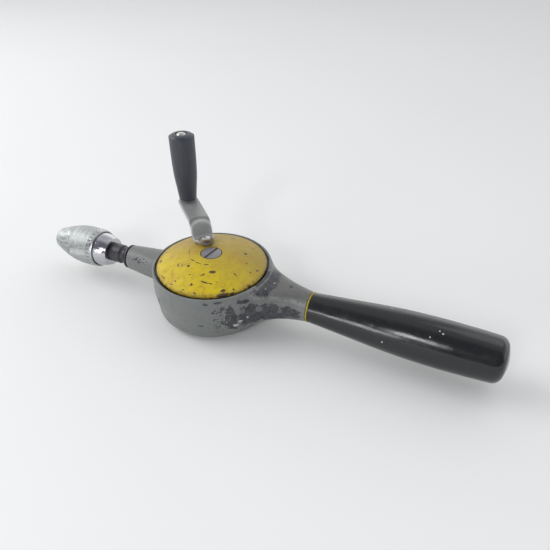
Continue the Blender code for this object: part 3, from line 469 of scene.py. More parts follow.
def grey_enamel():
    """Grey enamel on the cast housing, rubbed to dark metal where a hand holds it."""
    paint = Finish("grey_enamel", Specular_IOR_Level=0.5)
    # Each row is x, y, z and three radii. Enamel is left on the islands in the rubbed places.
    rubbed = [
        (-28, 28, 19, 4, 5, 11), (-38, 21, 20, 10, 8, 9), (-48, 15, 21, 10, 7, 8),
        (-59, 11, 20.5, 9, 5, 6.5), (-41, 3, 33.5, 7.5, 17, 4), (-34, 22, 31, 4, 4, 1.6),
        (-36, -22, 17, 6, 5, 7), (-50, -13, 21, 8, 3, 4),
    ]
    islands = [
        (-42.3, 17.5, 24, 2.2, 2, 2.4), (-50.3, 12.8, 28, 1.8, 1.4, 1), (-54, 12, 22.3, 1.6, 1.5, 1.8),
        (-64.5, 9, 27.5, 4.2, 3, 3), (-41.5, 17, 29.6, 4.5, 1.5, 0.8), (-61, 9.6, 16.5, 5, 3, 2),
        (-34, 24, 24, 1.6, 2, 2.2), (-47, 15, 26.5, 1.3, 1.5, 0.9), (-32, 25, 9, 6, 5, 2),
        (-56, 12, 26, 2.2, 1.5, 0.8),
    ]
    bright = [
        (-30.2, 26.5, 13.9, 1.9, 1.6, 1.3), (-32.9, 24.8, 16.6, 1.8, 1.5, 1.2),
        (-45.4, 0.3, 33.3, 0.7, 0.4, 0.7), (-42.8, 8.2, 33.2, 0.6, 0.5, 0.7),
        (-36.5, 21.6, 18.6, 1, 0.8, 0.7),
    ]
    specks = [
        (-15.4, 36.1, 32, 1.7, 1.5, 1), (-11.2, 36.7, 14, 2, 1.5, 0.7), (-19.2, 34.1, 25.5, 1, 1, 1),
        (-22.3, 32.3, 33, 3.6, 2, 0.9), (-24.5, 30.2, 16.5, 2.6, 2.2, 2), (21.5, 32, 21, 1, 1, 3.4),
        (-56, -1, 32.7, 1.3, 1, 1), (-19.5, 33.5, 20, 1.1, 1, 1), (-24, 31, 28, 1.6, 1.5, 1.4),
    ]
    coarse = paint.ragged(2.6, 5, 12)
    fine = paint.ragged(1.2, 1.8, 8)
    grain = paint.noise(3.2, 9, 0.78)
    loss = paint.plus(paint.patches(rubbed, coarse, 1.5, 0.5, 0.74), paint.times(grain, 1.3))
    worn = paint.fade(loss, 1.1, 1.16)
    near_drum = paint.fade(paint.spot((-24, 31, 20), (11, 9, 17)), 1, 0.4)
    near_neck = paint.fade(paint.spot((54, 8, 28), (11, 4, 4)), 1, 0.3, 0, 1.25)
    speckled = paint.most(near_drum, near_neck)
    fleck = paint.plus(paint.noise(1.5, 5, 0.62), paint.times(speckled, 0.16))
    worn = paint.most(worn, paint.fade(fleck, 0.69, 0.72))
    worn = paint.most(worn, paint.patches(specks, fine, 1.05, 0.9))
    worn = paint.times(worn, paint.rest(paint.patches(islands, fine, 1.2, 0.8, 0.6)))
    glint = paint.plus(paint.noise(1.1, 5, 0.65), paint.times(speckled, 0.1))
    glint = paint.fade(glint, 0.7, 0.73, 0, 0.8)
    bare = paint.most(paint.patches(bright, fine, 1, 0.8), glint)

    where = paint.axes(paint.ragged(3, 12))
    on_neck = paint.fade(where["X"], -34, -46)
    brown = paint.times(paint.fade(where["Z"], 27, 32, 0, 0.8), on_neck)
    grey = paint.mix(paint.noise(9, 6, 0.62), (106, 110, 108), (122, 125, 123))
    streak = paint.noise(5, 5, 0.6, paint.stretched(1, 1, 6))
    grey = paint.tint(grey, streak, 0.5, 0.75, 0.4, (98, 100, 98))
    grey = paint.mix(brown, grey, (90, 90, 87))
    scuff = paint.noise(1.3, 6, 0.7, paint.stretched(2.5, 1, 1))
    grey = paint.tint(grey, scuff, 0.52, 0.72, 0.35, (136, 138, 135))
    grey = paint.tint(grey, paint.noise(3, 6, 0.7), 0.55, 0.75, 0.3, (86, 90, 88))

    # Where the surface turns from the top to the side, the colour is lightened to (140, 141, 140): partly paint
    # rubbed thin on the edges, partly a painted highlight along the rim and the rear neck's top edge.
    facing = paint.axes(paint.add("NewGeometry").outputs["Normal"])["Z"]
    crease = paint.times(paint.fade(facing, 0.42, 0.6), paint.fade(facing, 0.88, 0.7))
    crease = paint.times(crease, paint.fade(where["Z"], 20, 25))
    crease = paint.times(crease, paint.fade(where["X"], 42, 37))
    rubbed_edge_and_highlight = paint.times(crease, paint.fade(paint.noise(2.4, 7, 0.7), 0.36, 0.56, 0, 0.7))
    patchy = paint.fade(paint.noise(2.8, 9, 0.75), 0.36, 0.64)
    color = paint.mix(worn, grey, paint.mix(patchy, (40, 46, 44), (76, 76, 83)))
    color = paint.mix(rubbed_edge_and_highlight, color, (140, 141, 140))
    color = paint.mix(bare, color, (184, 186, 184))
    relief = paint.bump(paint.rest(worn), 0.07, paint.bump(paint.noise(1.3, 2), 0.05))
    gloss = paint.plus(paint.fade(paint.noise(6, 5), 0.3, 0.7, 0.34, 0.48), paint.times(worn, 0.06))
    return paint.wear(Base_Color=color, Roughness=gloss, Normal=relief, Metallic=paint.times(bare, 0.5))


def yellow_enamel():
    """Yellow enamel on the cover, chipped to the dark metal, with a painted reflection that dulls its far half to
    tan.
    """
    paint = Finish("yellow_enamel", Specular_IOR_Level=0.4)
    # Each row is x, y, two half sizes and a turn in degrees.
    chips = [
        (-10, 16.3, 2.2, 1.1, 22), (-9.3, 25.1, 2.8, 0.6, 6), (-13, 24.4, 1.6, 0.35, 8),
        (7, 17.1, 1.1, 1.0, 0), (14.4, 17.5, 1.7, 0.5, 103), (11.8, 17.2, 0.5, 0.7, 0),
        (30.5, 14.1, 1.5, 1.0, 125), (32.8, 4.2, 1.2, 0.4, 155), (14.5, 3.7, 3.6, 0.2, 118),
        (7, 11.6, 2.6, 0.35, 165), (2.2, 12.8, 1.9, 0.35, 6), (-3.4, 12.3, 1.7, 0.45, 14),
        (-5.6, 20.6, 1.7, 0.5, 51), (-2.4, 29.3, 0.9, 1.0, 0), (19.4, 28, 3.6, 0.35, 149),
        (10.2, 32.2, 1.2, 0.6, 0), (9, 29.6, 0.8, 0.5, 140), (-7.2, 33.7, 1.5, 0.5, 169),
        (-22.8, 10.7, 1.7, 0.45, 167), (2.4, 23.2, 0.9, 0.3, 0), (-19.1, -11.3, 1.1, 1.1, 0),
        (-24.3, -2.3, 0.8, 0.5, 27), (-29.6, 3.2, 0.8, 0.5, 19), (-32.1, -1.6, 1.1, 0.8, 34),
        (-2.2, -26, 1.7, 0.6, 34), (-19.2, -21.8, 0.9, 0.5, 9), (-31, -19, 1.2, 1.0, 62),
        (-33.5, 13, 1.9, 1.1, 20), (-27.1, 20.7, 1.0, 0.7, 19), (-23, 27.2, 5.5, 1.2, 41),
        (-22, 25, 2.0, 1.2, 46), (-27.5, 23.5, 2.2, 0.8, 41), (-16, 21.8, 0.7, 0.35, 0),
        (17.8, -10.1, 1.2, 0.7, 144), (14, 33.2, 1.0, 0.5, 0), (1, 33.8, 0.9, 0.5, 20),
    ]
    chipped = paint.flecks(chips, paint.ragged(0.5, 1.2, 6), COVER_APEX_Z)
    radius = paint.vector("LENGTH", paint.vector("MULTIPLY", paint.place, (1, 1, 0)))
    rim = paint.fade(radius, COVER_RADIUS - 2.5, COVER_RADIUS - 0.1)
    loose = paint.plus(paint.noise(1.5, 8, 0.72), paint.times(rim, 0.17))
    chipped = paint.most(chipped, paint.fade(loose, 0.69, 0.73))

    # The far half (towards -Y) is painted tan and the near half full yellow: a painted reflection of the pale
    # backdrop that dulls the far half.
    side = paint.axes(paint.ragged(10, 24))
    tan = paint.mix(paint.fade(side["X"], -30, 25), (160, 141, 50), (172, 146, 54))
    gold = paint.mix(paint.noise(9, 6, 0.6), (198, 170, 16), (216, 198, 12))
    yellow = paint.mix(paint.fade(side["Y"], -12, 28), tan, gold)
    smear = paint.noise(4, 7, 0.68, paint.stretched(1.3, 2.2, 1), 0.6)
    yellow = paint.tint(yellow, smear, 0.42, 0.72, 0.75, (172, 134, 44))
    yellow = paint.tint(yellow, paint.noise(2.2, 7, 0.7), 0.56, 0.7, 0.7, (134, 106, 42))
    yellow = paint.tint(yellow, radius, COVER_RADIUS - 3, COVER_RADIUS, 0.4, (140, 114, 60))
    dark = paint.mix(paint.noise(1.2, 4), (62, 46, 36), (98, 76, 44))
    relief = paint.bump(paint.rest(chipped), 0.08, paint.bump(paint.noise(5, 4), 0.05))
    gloss = paint.fade(paint.noise(4, 5), 0.3, 0.7, 0.4, 0.58)
    return paint.wear(Base_Color=paint.mix(chipped, yellow, dark), Roughness=gloss, Normal=relief)


def ring_plastic():
    """Yellow plastic with a little dirt."""
    ring = Finish("ring_yellow", Roughness=0.4)
    dirt = ring.fade(ring.noise(2.5, 6, 0.7), 0.5, 0.72)
    color = ring.mix(dirt, (196, 178, 38), (120, 104, 40))
    return ring.wear(Base_Color=color, Normal=ring.bump(ring.noise(0.8), 0.04))


def black_lacquer():
    """Black gloss lacquer on the turned handle, a little dulled, with small white chips."""
    coat = Finish("black_lacquer", Specular_IOR_Level=0.5, Coat_Weight=0.15, Coat_Roughness=0.1)
    # Each row is x, y, z and three radii.
    chips = [
        (-119, -3.8, 34.9, 0.5, 0.3, 0.6), (-148.3, 5.5, 35.5, 0.45, 0.3, 0.6),
        (-150.3, 6.7, 34.9, 0.6, 0.3, 0.6), (-144.1, 9.7, 32.8, 0.3, 0.4, 0.4),
        (-119.2, 13.6, 22.7, 0.45, 0.6, 0.45), (-96, -12, 22, 0.4, 0.7, 0.3),
        (-163, -13.5, 25, 0.6, 0.7, 0.3), (-134, -6, 9, 0.4, 0.4, 0.6),
    ]
    chip = coat.patches(chips, coat.ragged(0.4, 0.8), 1.2, 0.8)
    black = coat.mix(coat.noise(16, 5, 0.62), (22, 25, 26), (32, 35, 36))
    scuffed = coat.noise(2.2, 7, 0.72, coat.stretched(2, 1, 1))
    black = coat.tint(black, scuffed, 0.56, 0.74, 0.16, (92, 96, 98))
    color = coat.mix(chip, black, (214, 214, 206))
    gloss = coat.fade(coat.noise(10, 6, 0.65), 0.3, 0.7, 0.14, 0.26)
    ripple = coat.bump(coat.noise(9, 4, at=coat.stretched(2.2, 1, 1)), 0.22)
    relief = coat.bump(coat.rest(chip), 0.08, ripple)
    return coat.wear(Base_Color=color, Roughness=gloss, Normal=relief)


def knob_plastic():
    """Blue-black moulded plastic, satin, lighter where it is handled most."""
    body = Finish("knob_plastic", Specular_IOR_Level=0.5)
    worn = body.noise(9, 5, 0.65, body.stretched(1, 1, 2.5))
    color = body.mix(worn, (46, 50, 57), (64, 68, 77))
    scratch = body.fade(body.noise(1.5, 6, 0.7, body.stretched(1, 1, 9)), 0.62, 0.7)
    color = body.mix(body.times(scratch, 0.4), color, (108, 112, 118))
    gloss = body.fade(worn, 0.3, 0.7, 0.36, 0.5)
    relief = body.bump(scratch, 0.03, body.bump(body.noise(0.5, 2), 0.02))
    return body.wear(Base_Color=color, Roughness=gloss, Normal=relief)


def metal(name, light, dark, gloss, dull, streak=(1.0, 1.0, 1.0), pits=0.5, metallic=1.0):
    """Bare metal with fine machining streaks, cloudy tarnish and small dark pits."""
    steel = Finish(name, Metallic=metallic)
    cloud = steel.noise(4, 6, 0.65)
    line = steel.noise(0.25, 2, at=steel.stretched(*streak))
    pit = steel.fade(steel.noise(0.9, 6, 0.7), 0.66, 0.72, 0, pits)
    color = steel.mix(pit, steel.mix(cloud, dark, light), (52, 46, 42))
    mottled = steel.plus(steel.times(cloud, 0.6), steel.times(line, 0.4))
    roughness = steel.fade(mottled, 0.3, 0.7, gloss, dull)
    relief = steel.bump(pit, -0.03, steel.bump(line, 0.012))
    return steel.wear(Base_Color=color, Roughness=roughness, Normal=relief)


def satin_chrome():
    """Satin plate on the chuck's sleeve, dulled and streaked on the plain nose."""
    plate = Finish("satin_chrome", Metallic=1.0)
    nose = plate.fade(plate.axes(plate.place)["X"], NOSE_X, NOSE_X + 1.2)
    cloud = plate.noise(4, 6, 0.65)
    color = plate.mix(cloud, (166, 170, 169), (190, 194, 193))
    dulled = plate.fade(plate.noise(2.4, 7, 0.7, plate.stretched(4, 1, 1)), 0.35, 0.65)
    color = plate.mix(nose, color, plate.mix(dulled, (146, 150, 149), (194, 198, 197)))
    color = plate.tint(color, plate.noise(0.9, 6, 0.7), 0.64, 0.72, 0.4, (60, 58, 56))
    gloss = plate.plus(plate.fade(cloud, 0.3, 0.7, 0.28, 0.4), plate.times(nose, 0.2))
    relief = plate.bump(plate.noise(0.25, 2, at=plate.stretched(0.3, 3, 3)), 0.012)
    return plate.wear(Base_Color=color, Roughness=gloss, Normal=relief)


def strip_steel():
    """Dull plate on the crank's strip, with a painted highlight along the knee and a painted dark reflection just
    beyond it towards the knob.
    """
    strip = Finish("strip_steel", Metallic=0.35)
    turned = {"Vector": strip.place, "Rotation": (0.0, 0.0, CRANK_ANGLE)}
    local = strip.axes(strip.add("Mapping", turned, vector_type="TEXTURE").outputs["Vector"])
    knee_bow = 17
    bow = strip.times(strip.times(local["Y"], local["Y"]), 1 / knee_bow)
    reach = strip.plus(local["X"], bow)
    cloud = strip.noise(4, 6, 0.65)
    color = strip.mix(cloud, (140, 143, 141), (162, 165, 163))
    # A painted dark reflection: a darker band just beyond the knee, bowed like the bend.
    knee_dark_reflection = strip.times(strip.fade(reach, 27, 28.4), strip.fade(reach, 32, 29, 0, 0.55))
    color = strip.mix(knee_dark_reflection, color, (92, 92, 90))
    # A painted highlight: a light band along the knee, bowed like the bend.
    bright = strip.times(strip.fade(reach, 24.4, 26), strip.fade(reach, 27.4, 26.4, 0, 0.5))
    color = strip.mix(bright, color, (206, 207, 205))
    color = strip.tint(color, reach, RIVET_POSITION + 3, RIVET_POSITION - 1, 0.8, (96, 86, 66))
    pit = strip.fade(strip.noise(1.1, 6, 0.7), 0.64, 0.7, 0, 0.6)
    color = strip.mix(pit, color, (70, 64, 58))
    gloss = strip.fade(cloud, 0.3, 0.7, 0.36, 0.5)
    return strip.wear(Base_Color=color, Roughness=gloss, Normal=strip.bump(pit, -0.03))


def rivet_steel():
    """The rivet's head: brown, with a painted highlight in the middle that is lighter and glossier."""
    head = Finish("rivet_steel", Metallic=0.9)
    center = (RIVET_POSITION * math.cos(CRANK_ANGLE), RIVET_POSITION * math.sin(CRANK_ANGLE), 0.0)
    flat = head.vector("MULTIPLY", head.vector("SUBTRACT", head.ragged(0.5, 1.5), center), (1, 1, 0))
    edge = head.fade(head.vector("LENGTH", flat), 1.6, 3.6)
    grain = head.noise(0.9, 6, 0.7)
    color = head.mix(grain, (120, 108, 90), (84, 74, 62))
    # A painted highlight: the middle of the head is light (206, 205, 200).
    color = head.mix(edge, (206, 205, 200), color)
    gloss = head.fade(edge, 0, 1, 0.26, 0.5)
    return head.wear(Base_Color=color, Roughness=gloss, Normal=head.bump(grain, 0.04))


def black_steel():
    """Oil-blackened steel, rubbed brighter in fine rings."""
    steel = Finish("black_steel", Metallic=0.7)
    ring = steel.noise(1, 5, 0.65, steel.stretched(0.25, 2, 2))
    color = steel.tint((72, 72, 75), ring, 0.5, 0.75, 0.7, (122, 122, 124))
    roughness = steel.fade(ring, 0.3, 0.7, 0.34, 0.5)
    return steel.wear(Base_Color=color, Roughness=roughness, Normal=steel.bump(ring, 0.02))


def cast_metal(name, light, dark, size, metallic):
    """A rough sand-cast or moulded metal surface."""
    cast = Finish(name, Metallic=metallic)
    grain = cast.noise(size, 6, 0.7)
    color = cast.mix(grain, dark, light)
    roughness = cast.fade(grain, 0.3, 0.7, 0.45, 0.65)
    return cast.wear(Base_Color=color, Roughness=roughness, Normal=cast.bump(grain, 0.05))


def make_finishes():
    """The finish of each material slot, and of two pieces that have one of their own."""
    turned_x = (0.3, 3, 3)
    turned_z = (3, 3, 0.3)
    return {
        "grey_paint": grey_enamel(),
        "yellow_paint": yellow_enamel(),
        "yellow_ring": ring_plastic(),
        "black_gloss": black_lacquer(),
        "black_plastic": knob_plastic(),
        "black_steel": black_steel(),
        "bright_steel": metal("bright_steel", (206, 206, 202), (168, 168, 164), 0.22, 0.38, turned_z),
        "plated_steel": metal("plated_steel", (152, 150, 154), (112, 110, 115), 0.36, 0.5, metallic=0.35),
        "chrome": metal("chrome", (204, 205, 209), (178, 179, 184), 0.1, 0.2, turned_x, 0.1),
        "satin_chrome": satin_chrome(),
        "bronze": cast_metal("bronze", (190, 142, 84), (150, 106, 58), 2, 1),
        "cast_iron": cast_metal("cast_iron", (120, 116, 112), (78, 74, 70), 1.2, 0.8),
        "strip": strip_steel(),
        "rivet": rivet_steel(),
    }


finishes = make_finishes()


# --- housing ---

FOOT_FILLET = 8.0
DRUM_TAPER = 1.6  # how much smaller the drum's radius is near its back
TAPER_LOW_Z = 6.0
TAPER_HEIGHT = 16.0
RIM_FILLET = 0.7
RIM_INNER_RADIUS = DRUM_RADIUS - 1.8
STEP_Z = RIM_Z - 2.2
CUP_RADIUS = DRUM_RADIUS - 3.5
CUP_FLOOR_Z = 3.5
CUP_FILLET = 6.0
PILLAR_RADIUS = 9.0
PILLAR_TOP_Z = box("hub_washer")[0].z - 0.3
NECK_FRONT_RADIUS = 8.6
NECK_FRONT_SPREAD = 4.0  # how much wider its root is on each side
NECK_FRONT_START_X = 10.0
NECK_REAR_RADIUS = 9.7
NECK_REAR_LIFT = 2.6  # how much higher its root is
NECK_REAR_DROP = 8.0  # how much lower its root is
NECK_REAR_ROOT_RADIUS = 41.0  # the flare leaves this circle about the drum's axis
NECK_ROOT_X = 33.0
NECK_FILLET = 3.0
MOUTH_FILLET = 0.8
EDGE_FILLET = 0.35
CORE_FILLET = 1.5
FRONT_BORE_RADIUS = 6.3
MOUTH_BORE_RADIUS = 7.5
TAIL_BORE_RADIUS = 3.9
STUD_BORE_RADIUS = 3.3
SCREW_BORE_RADIUS = 3.3
BLOCK_HALF_WIDTH = 6.2  # the pillar's block, which holds the spindle's tail
BLOCK_END_X = 17.0
CAST_GRAIN = 5.0
CAST_DEPTH = 0.07
FLAT_BACK_Z = 0.3  # the back that the drill lies on stays flat
NET_STEP = 0.62


def rounded_box(y, z, half_width, low, high, power):
    """Below 0 inside a superellipse in the Y-Z plane, and close to a distance outside it."""
    middle, half_height = (low + high) / 2, (high - low) / 2
    across = np.abs(y) / half_width
    up = np.abs(z - middle) / half_height
    return ((across**power + up**power) ** (1 / power) - 1) * np.minimum(half_width, half_height)


def front_neck(x, y, z):
    """A box-like root in the drum's wall that becomes round where the spindle comes out."""
    t = np.clip((x - NECK_ROOT_X) / (NECK_FRONT_X - NECK_ROOT_X), 0, 1)
    half = NECK_FRONT_RADIUS + NECK_FRONT_SPREAD * (1 - t)
    low = SPINDLE_Z - NECK_FRONT_RADIUS - 1.2 * (1 - t)
    high = SPINDLE_Z + NECK_FRONT_RADIUS + 0.8 * (1 - t)
    neck = rounded_box(y, z, half, low, high, 2.0 + 0.8 * (1 - t))
    return np.maximum(round_max(neck, x - NECK_FRONT_X, MOUTH_FILLET), NECK_FRONT_START_X - x)


def rear_neck(x, y, z):
    """A flare whose plan is an arc that leaves the drum's side tangentially and ends at the handle."""
    root = NECK_REAR_ROOT_RADIUS
    flare = (NECK_REAR_X**2 + NECK_REAR_RADIUS**2 - root**2) / (2 * (root - NECK_REAR_RADIUS))
    tangent_x = NECK_REAR_X * root / (root + flare)
    t = np.clip((x - tangent_x) / (NECK_REAR_X - tangent_x), 0, 1)
    plan_x = np.minimum(x, tangent_x) - NECK_REAR_X
    half = NECK_REAR_RADIUS + flare - np.sqrt(np.maximum(flare**2 - plan_x**2, 0))
    low = SPINDLE_Z - NECK_REAR_RADIUS - NECK_REAR_DROP * (1 - t) ** 3
    high = SPINDLE_Z + NECK_REAR_RADIUS + NECK_REAR_LIFT * (1 - t) ** 0.8
    neck = rounded_box(y, z, half, low, high, 2.0 + 2.4 * (1 - t))
    return np.maximum(round_max(neck, NECK_REAR_X - x, 0.4), x - tangent_x - 5)


def housing_field(points):
    x, y, z = points.T
    radius = np.hypot(x, y)
    rise = np.clip((z - TAPER_LOW_Z) / TAPER_HEIGHT, 0, 1)
    side = DRUM_RADIUS - DRUM_TAPER * (1 - rise * rise * (3 - 2 * rise))
    drum = round_max(radius - side, -z, FOOT_FILLET)
    drum = round_max(drum, z - RIM_Z, RIM_FILLET)
    solid = round_min(drum, front_neck(x, y, z), NECK_FILLET)
    solid = round_min(solid, rear_neck(x, y, z), NECK_FILLET)
    cup = round_max(radius - CUP_RADIUS, CUP_FLOOR_Z - z, CUP_FILLET)
    cup = np.minimum(cup, np.maximum(radius - RIM_INNER_RADIUS, STEP_Z - z))
    shell = round_max(solid, -cup, EDGE_FILLET)
    pillar = round_max(radius - PILLAR_RADIUS, z - PILLAR_TOP_Z, 0.3)
    block = np.maximum(np.abs(y) - BLOCK_HALF_WIDTH, np.maximum(x - BLOCK_END_X, -x))
    block = round_max(block, z - PILLAR_TOP_Z + 0.1, 0.4)
    core = np.maximum(round_min(pillar, block, 1.0), 1.0 - z)
    body = round_min(shell, core, CORE_FILLET)
    return round_max(body, -housing_bores(x, y, z), 0.3)


def housing_bores(x, y, z):
    """Below 0 inside the bores for the bushes, the handle's stud and the pivot screw."""
    from_spindle = np.hypot(y, z - SPINDLE_Z)
    front = np.maximum(from_spindle - FRONT_BORE_RADIUS, 30 - x)
    mouth = np.maximum(from_spindle - MOUTH_BORE_RADIUS, NECK_FRONT_X - 2.0 - x)
    tail = np.maximum(from_spindle - TAIL_BORE_RADIUS, np.maximum(5.2 - x, x - 25))
    stud = np.maximum(from_spindle - STUD_BORE_RADIUS, x + 50)
    screw = np.maximum(np.hypot(x, y) - SCREW_BORE_RADIUS, 7 - z)
    return np.minimum.reduce([front, mouth, tail, stud, screw])


def make_housing():
    """The cast drum with its two necks, and the pillar inside that carries the crown gear."""
    low, high = box("housing")
    margin = Vector((2, 2, 2))
    points, faces = surface_net(housing_field, low - margin, high + margin, NET_STEP)
    points = settle(housing_field, points, faces, NET_STEP / 2)
    slope = slope_of(housing_field, points)
    normal = slope / np.linalg.norm(slope, axis=-1, keepdims=True)
    cast = rough(points, CAST_GRAIN, CAST_DEPTH) - CAST_DEPTH
    cast[points[:, 2] < FLAT_BACK_Z] = 0.0
    points = points + normal * cast[:, None]
    points[:, 2] = np.maximum(points[:, 2], low.z)
    make_piece("housing_casting", points, faces, "frame", "grey_paint", "housing")


# --- cover and pivot ---

COVER_GAP = 0.5  # between the screw's head and the cover's hole
COVER_DENTS = 0.12
SCREW_HEAD = 2.6
SLOT_WIDTH = 1.9
SLOT_DEPTH = 1.3
SLOT_TURN = math.radians(-98.0)
SLOT_SOFTNESS = 0.12


def dome_z(radius):
    """Height of the cover's top at a distance from the crank's axis: part of a sphere."""
    return COVER_APEX_Z - DOME_RADIUS + math.sqrt(DOME_RADIUS**2 - radius**2)


def make_cover():
    """The domed cover with a hole for the pivot screw, open behind."""
    hole = SCREW_RADIUS + COVER_GAP
    steps = 40
    radii = [hole + 0.4 + (COVER_RADIUS - 0.9 - hole) * i / steps for i in range(steps + 1)]
    top = [(r, dome_z(r)) for r in radii]
    back_z = COVER_EDGE_Z - COVER_THICKNESS
    edge = filleted([
        (COVER_RADIUS - 0.5, dome_z(COVER_RADIUS - 0.5), 0), (COVER_RADIUS, COVER_EDGE_Z - 0.2, 0.35),
        (COVER_RADIUS, back_z, 0.2), (COVER_RADIUS - 1.0, back_z, 0),
    ])
    under = [(r, dome_z(r) - COVER_THICKNESS) for r in reversed(radii[::4])]
    lip = [(hole, dome_z(hole) - COVER_THICKNESS), (hole, dome_z(hole) - 0.35)]
    points, faces = lathe([*top, *edge[1:], *under, *lip], 144, closed=True)
    dents = rough(points, 9, COVER_DENTS, 3.0) - COVER_DENTS
    flat = points[:, 2] > COVER_EDGE_Z
    points[flat, 2] += dents[flat]
    make_piece("cover_dome", points, faces, "crank", "yellow_paint", "cover_disc")


def cut_slot(piece, top):
    """Cuts a screwdriver slot across a head and softens its edges."""
    bm = bmesh.new()
    bmesh.ops.create_cube(bm, size=MM)
    bmesh.ops.scale(bm, vec=(3 * SCREW_RADIUS, SLOT_WIDTH, 2 * SLOT_DEPTH), verts=bm.verts)
    bmesh.ops.rotate(bm, matrix=Matrix.Rotation(SLOT_TURN, 3, "Z"), verts=bm.verts)
    bmesh.ops.translate(bm, vec=(0, 0, top * MM), verts=bm.verts)
    mesh = bpy.data.meshes.new("slot_tool")
    bm.to_mesh(mesh)
    bm.free()
    tool = bpy.data.objects.new("slot_tool", mesh)
    bpy.context.scene.collection.objects.link(tool)
    cut = piece.modifiers.new("slot", "BOOLEAN")
    cut.operation = "DIFFERENCE"
    cut.object = tool
    soften = piece.modifiers.new("edges", "BEVEL")
    soften.width = SLOT_SOFTNESS * MM
    soften.segments = 2
    soften.limit_method = "ANGLE"
    soften.angle_limit = math.radians(50)
    bpy.context.view_layer.update()
    graph = bpy.context.evaluated_depsgraph_get()
    piece.data = bpy.data.meshes.new_from_object(piece.evaluated_get(graph))
    piece.modifiers.clear()
    bpy.data.objects.remove(tool)
    piece.data.shade_smooth()
    piece.data.set_sharp_from_angle(angle=math.radians(35))


def make_pivot_screw():
    """The slotted screw in the middle of the cover, with a plain shank."""
    low, high = box("pivot_screw")
    head_z = high.z - SCREW_HEAD
    outline = filleted([
        (0.0, low.z, 0), (2.4, low.z, 0.2), (3.0, low.z + 0.8, 0.2), (3.0, head_z, 0.2),
        (SCREW_RADIUS, head_z, 0.2), (SCREW_RADIUS, high.z - 0.1, 0.45), (0.0, high.z, 0),
    ])
    points, faces = lathe(outline, 96)
    screw = make_piece("pivot_screw_head", points, faces, "frame", "plated_steel", "pivot_screw")
    cut_slot(screw, high.z)


# --- crank ---

FOOT_RADIUS = 4.4
FOOT_TOUCH = RIVET_POSITION + 2.0
FOOT_TILT = math.asin(FOOT_TOUCH / DOME_RADIUS)
KNEE_RADIUS = 26.0
RISE_ANGLE = math.radians(60.0)
ARM_GAP = 0.3
HEEL_SOFTNESS = 2.4  # how far the heel's bend reaches on either side
KNEE_SOFTNESS = 4.0  # how far the knee's bend reaches on either side
KNEE_CROWN = 1.6  # how far the knee's middle stands ahead of its edges
EDGE_ROUNDING = 0.95


def spread(start, end, count):
    return [start.lerp(end, i / (count - 1)) for i in range(count)]


def arm_centerline():
    """(distance from the crank's axis, height) of the strip's middle, from its foot to its end."""
    half = ARM_THICKNESS / 2
    along = Vector((math.cos(FOOT_TILT), -math.sin(FOOT_TILT)))
    start = Vector((RIVET_POSITION - FOOT_RADIUS, 0.0))
    lift = (ARM_GAP + half) / math.cos(FOOT_TILT)
    start.y = dome_z(FOOT_TOUCH) + lift + (FOOT_TOUCH - start.x) * math.tan(FOOT_TILT)
    rise = Vector((math.cos(RISE_ANGLE), math.sin(RISE_ANGLE)))
    knee = Vector((KNEE_RADIUS, ARM_TOP_Z - half))
    slope = along.y / along.x
    drop = (knee.y - start.y - slope * (knee.x - start.x)) / (rise.y - slope * rise.x)
    heel = knee - rise * drop
    axis = Vector((CRANK_RADIUS, knee.y))
    reach = (heel - along * HEEL_SOFTNESS - start).length
    foot = [start + along * reach * (1 - math.cos(math.pi / 2 * i / 16)) for i in range(17)]
    riser = spread(heel + rise * HEEL_SOFTNESS, knee - rise * KNEE_SOFTNESS, 6)
    run = spread(knee + Vector((KNEE_SOFTNESS, 0)), axis, 14)
    tip_reach = ARM_WIDTH / 2 - 0.05
    tip = [axis + Vector((tip_reach * math.sin(math.pi / 2 * i / 18), 0)) for i in range(1, 19)]
    heel_bend = bend(foot[-1], heel, riser[0], 12)
    knee_bend = bend(riser[-1], knee, run[0], 16)
    return [*foot, *heel_bend[1:-1], *riser, *knee_bend[1:-1], *run, *tip]


def arm_half_width(distance):
    """The strip narrows to a round tongue under the rivet's head and ends in a half circle."""
    half = ARM_WIDTH / 2
    past = distance - CRANK_RADIUS
    if past > 0:
        return math.sqrt(max(half**2 - past**2, 0.35**2))
    before = RIVET_POSITION - distance
    if before > 0:
        return math.sqrt(max(FOOT_RADIUS**2 - before**2, 0.6**2))
    share = min(1.0, -before / 6.0)
    return FOOT_RADIUS + (half - FOOT_RADIUS) * share * share * (3 - 2 * share)


def strip_section(half_width, half_thickness, round_off):
    """(across, up) points of a flat strip's section with rounded edges."""
    edge = min(round_off, half_width * 0.9)
    points = []
    for side, up, start in ((1, 1, 0), (-1, 1, 90), (-1, -1, 180), (1, -1, 270)):
        for k in range(5):
            a = math.radians(start + 90 * k / 4)
            across = side * (half_width - edge) + edge * math.cos(a)
            points.append((across, up * (half_thickness - edge) + edge * math.sin(a)))
    result = []
    for one, two in zip(points, points[1:] + points[:1]):
        flat = math.dist(one, two) > 1.5
        result += between(one, two, (0.0, 0.25, 0.5, 0.75) if flat else (0.0, 0.5, 0.5, 0.5))
    return result


def make_crank_arm():
    stations = arm_centerline()
    rings = []
    for i, station in enumerate(stations):
        before = stations[max(i - 1, 0)]
        after = stations[min(i + 1, len(stations) - 1)]
        along = (after - before).normalized()
        normal = Vector((-along.y, along.x))
        half = arm_half_width(station.x)
        crown = KNEE_CROWN * max(0.0, 1 - ((station.x - KNEE_RADIUS) / 8) ** 2) ** 2
        ring = []
        for across, up in strip_section(half, ARM_THICKNESS / 2, EDGE_ROUNDING):
            point = station + normal * up + along * crown * (1 - (across / half) ** 2)
            ring.append((point.x, across, point.y))
        rings.append(ring)
    points, faces = lofted(rings)
    turn = np.array(Matrix.Rotation(CRANK_ANGLE, 3, "Z"))
    make_piece("crank_strip", points @ turn.T, faces, "crank", "plated_steel", "crank_arm", "strip")


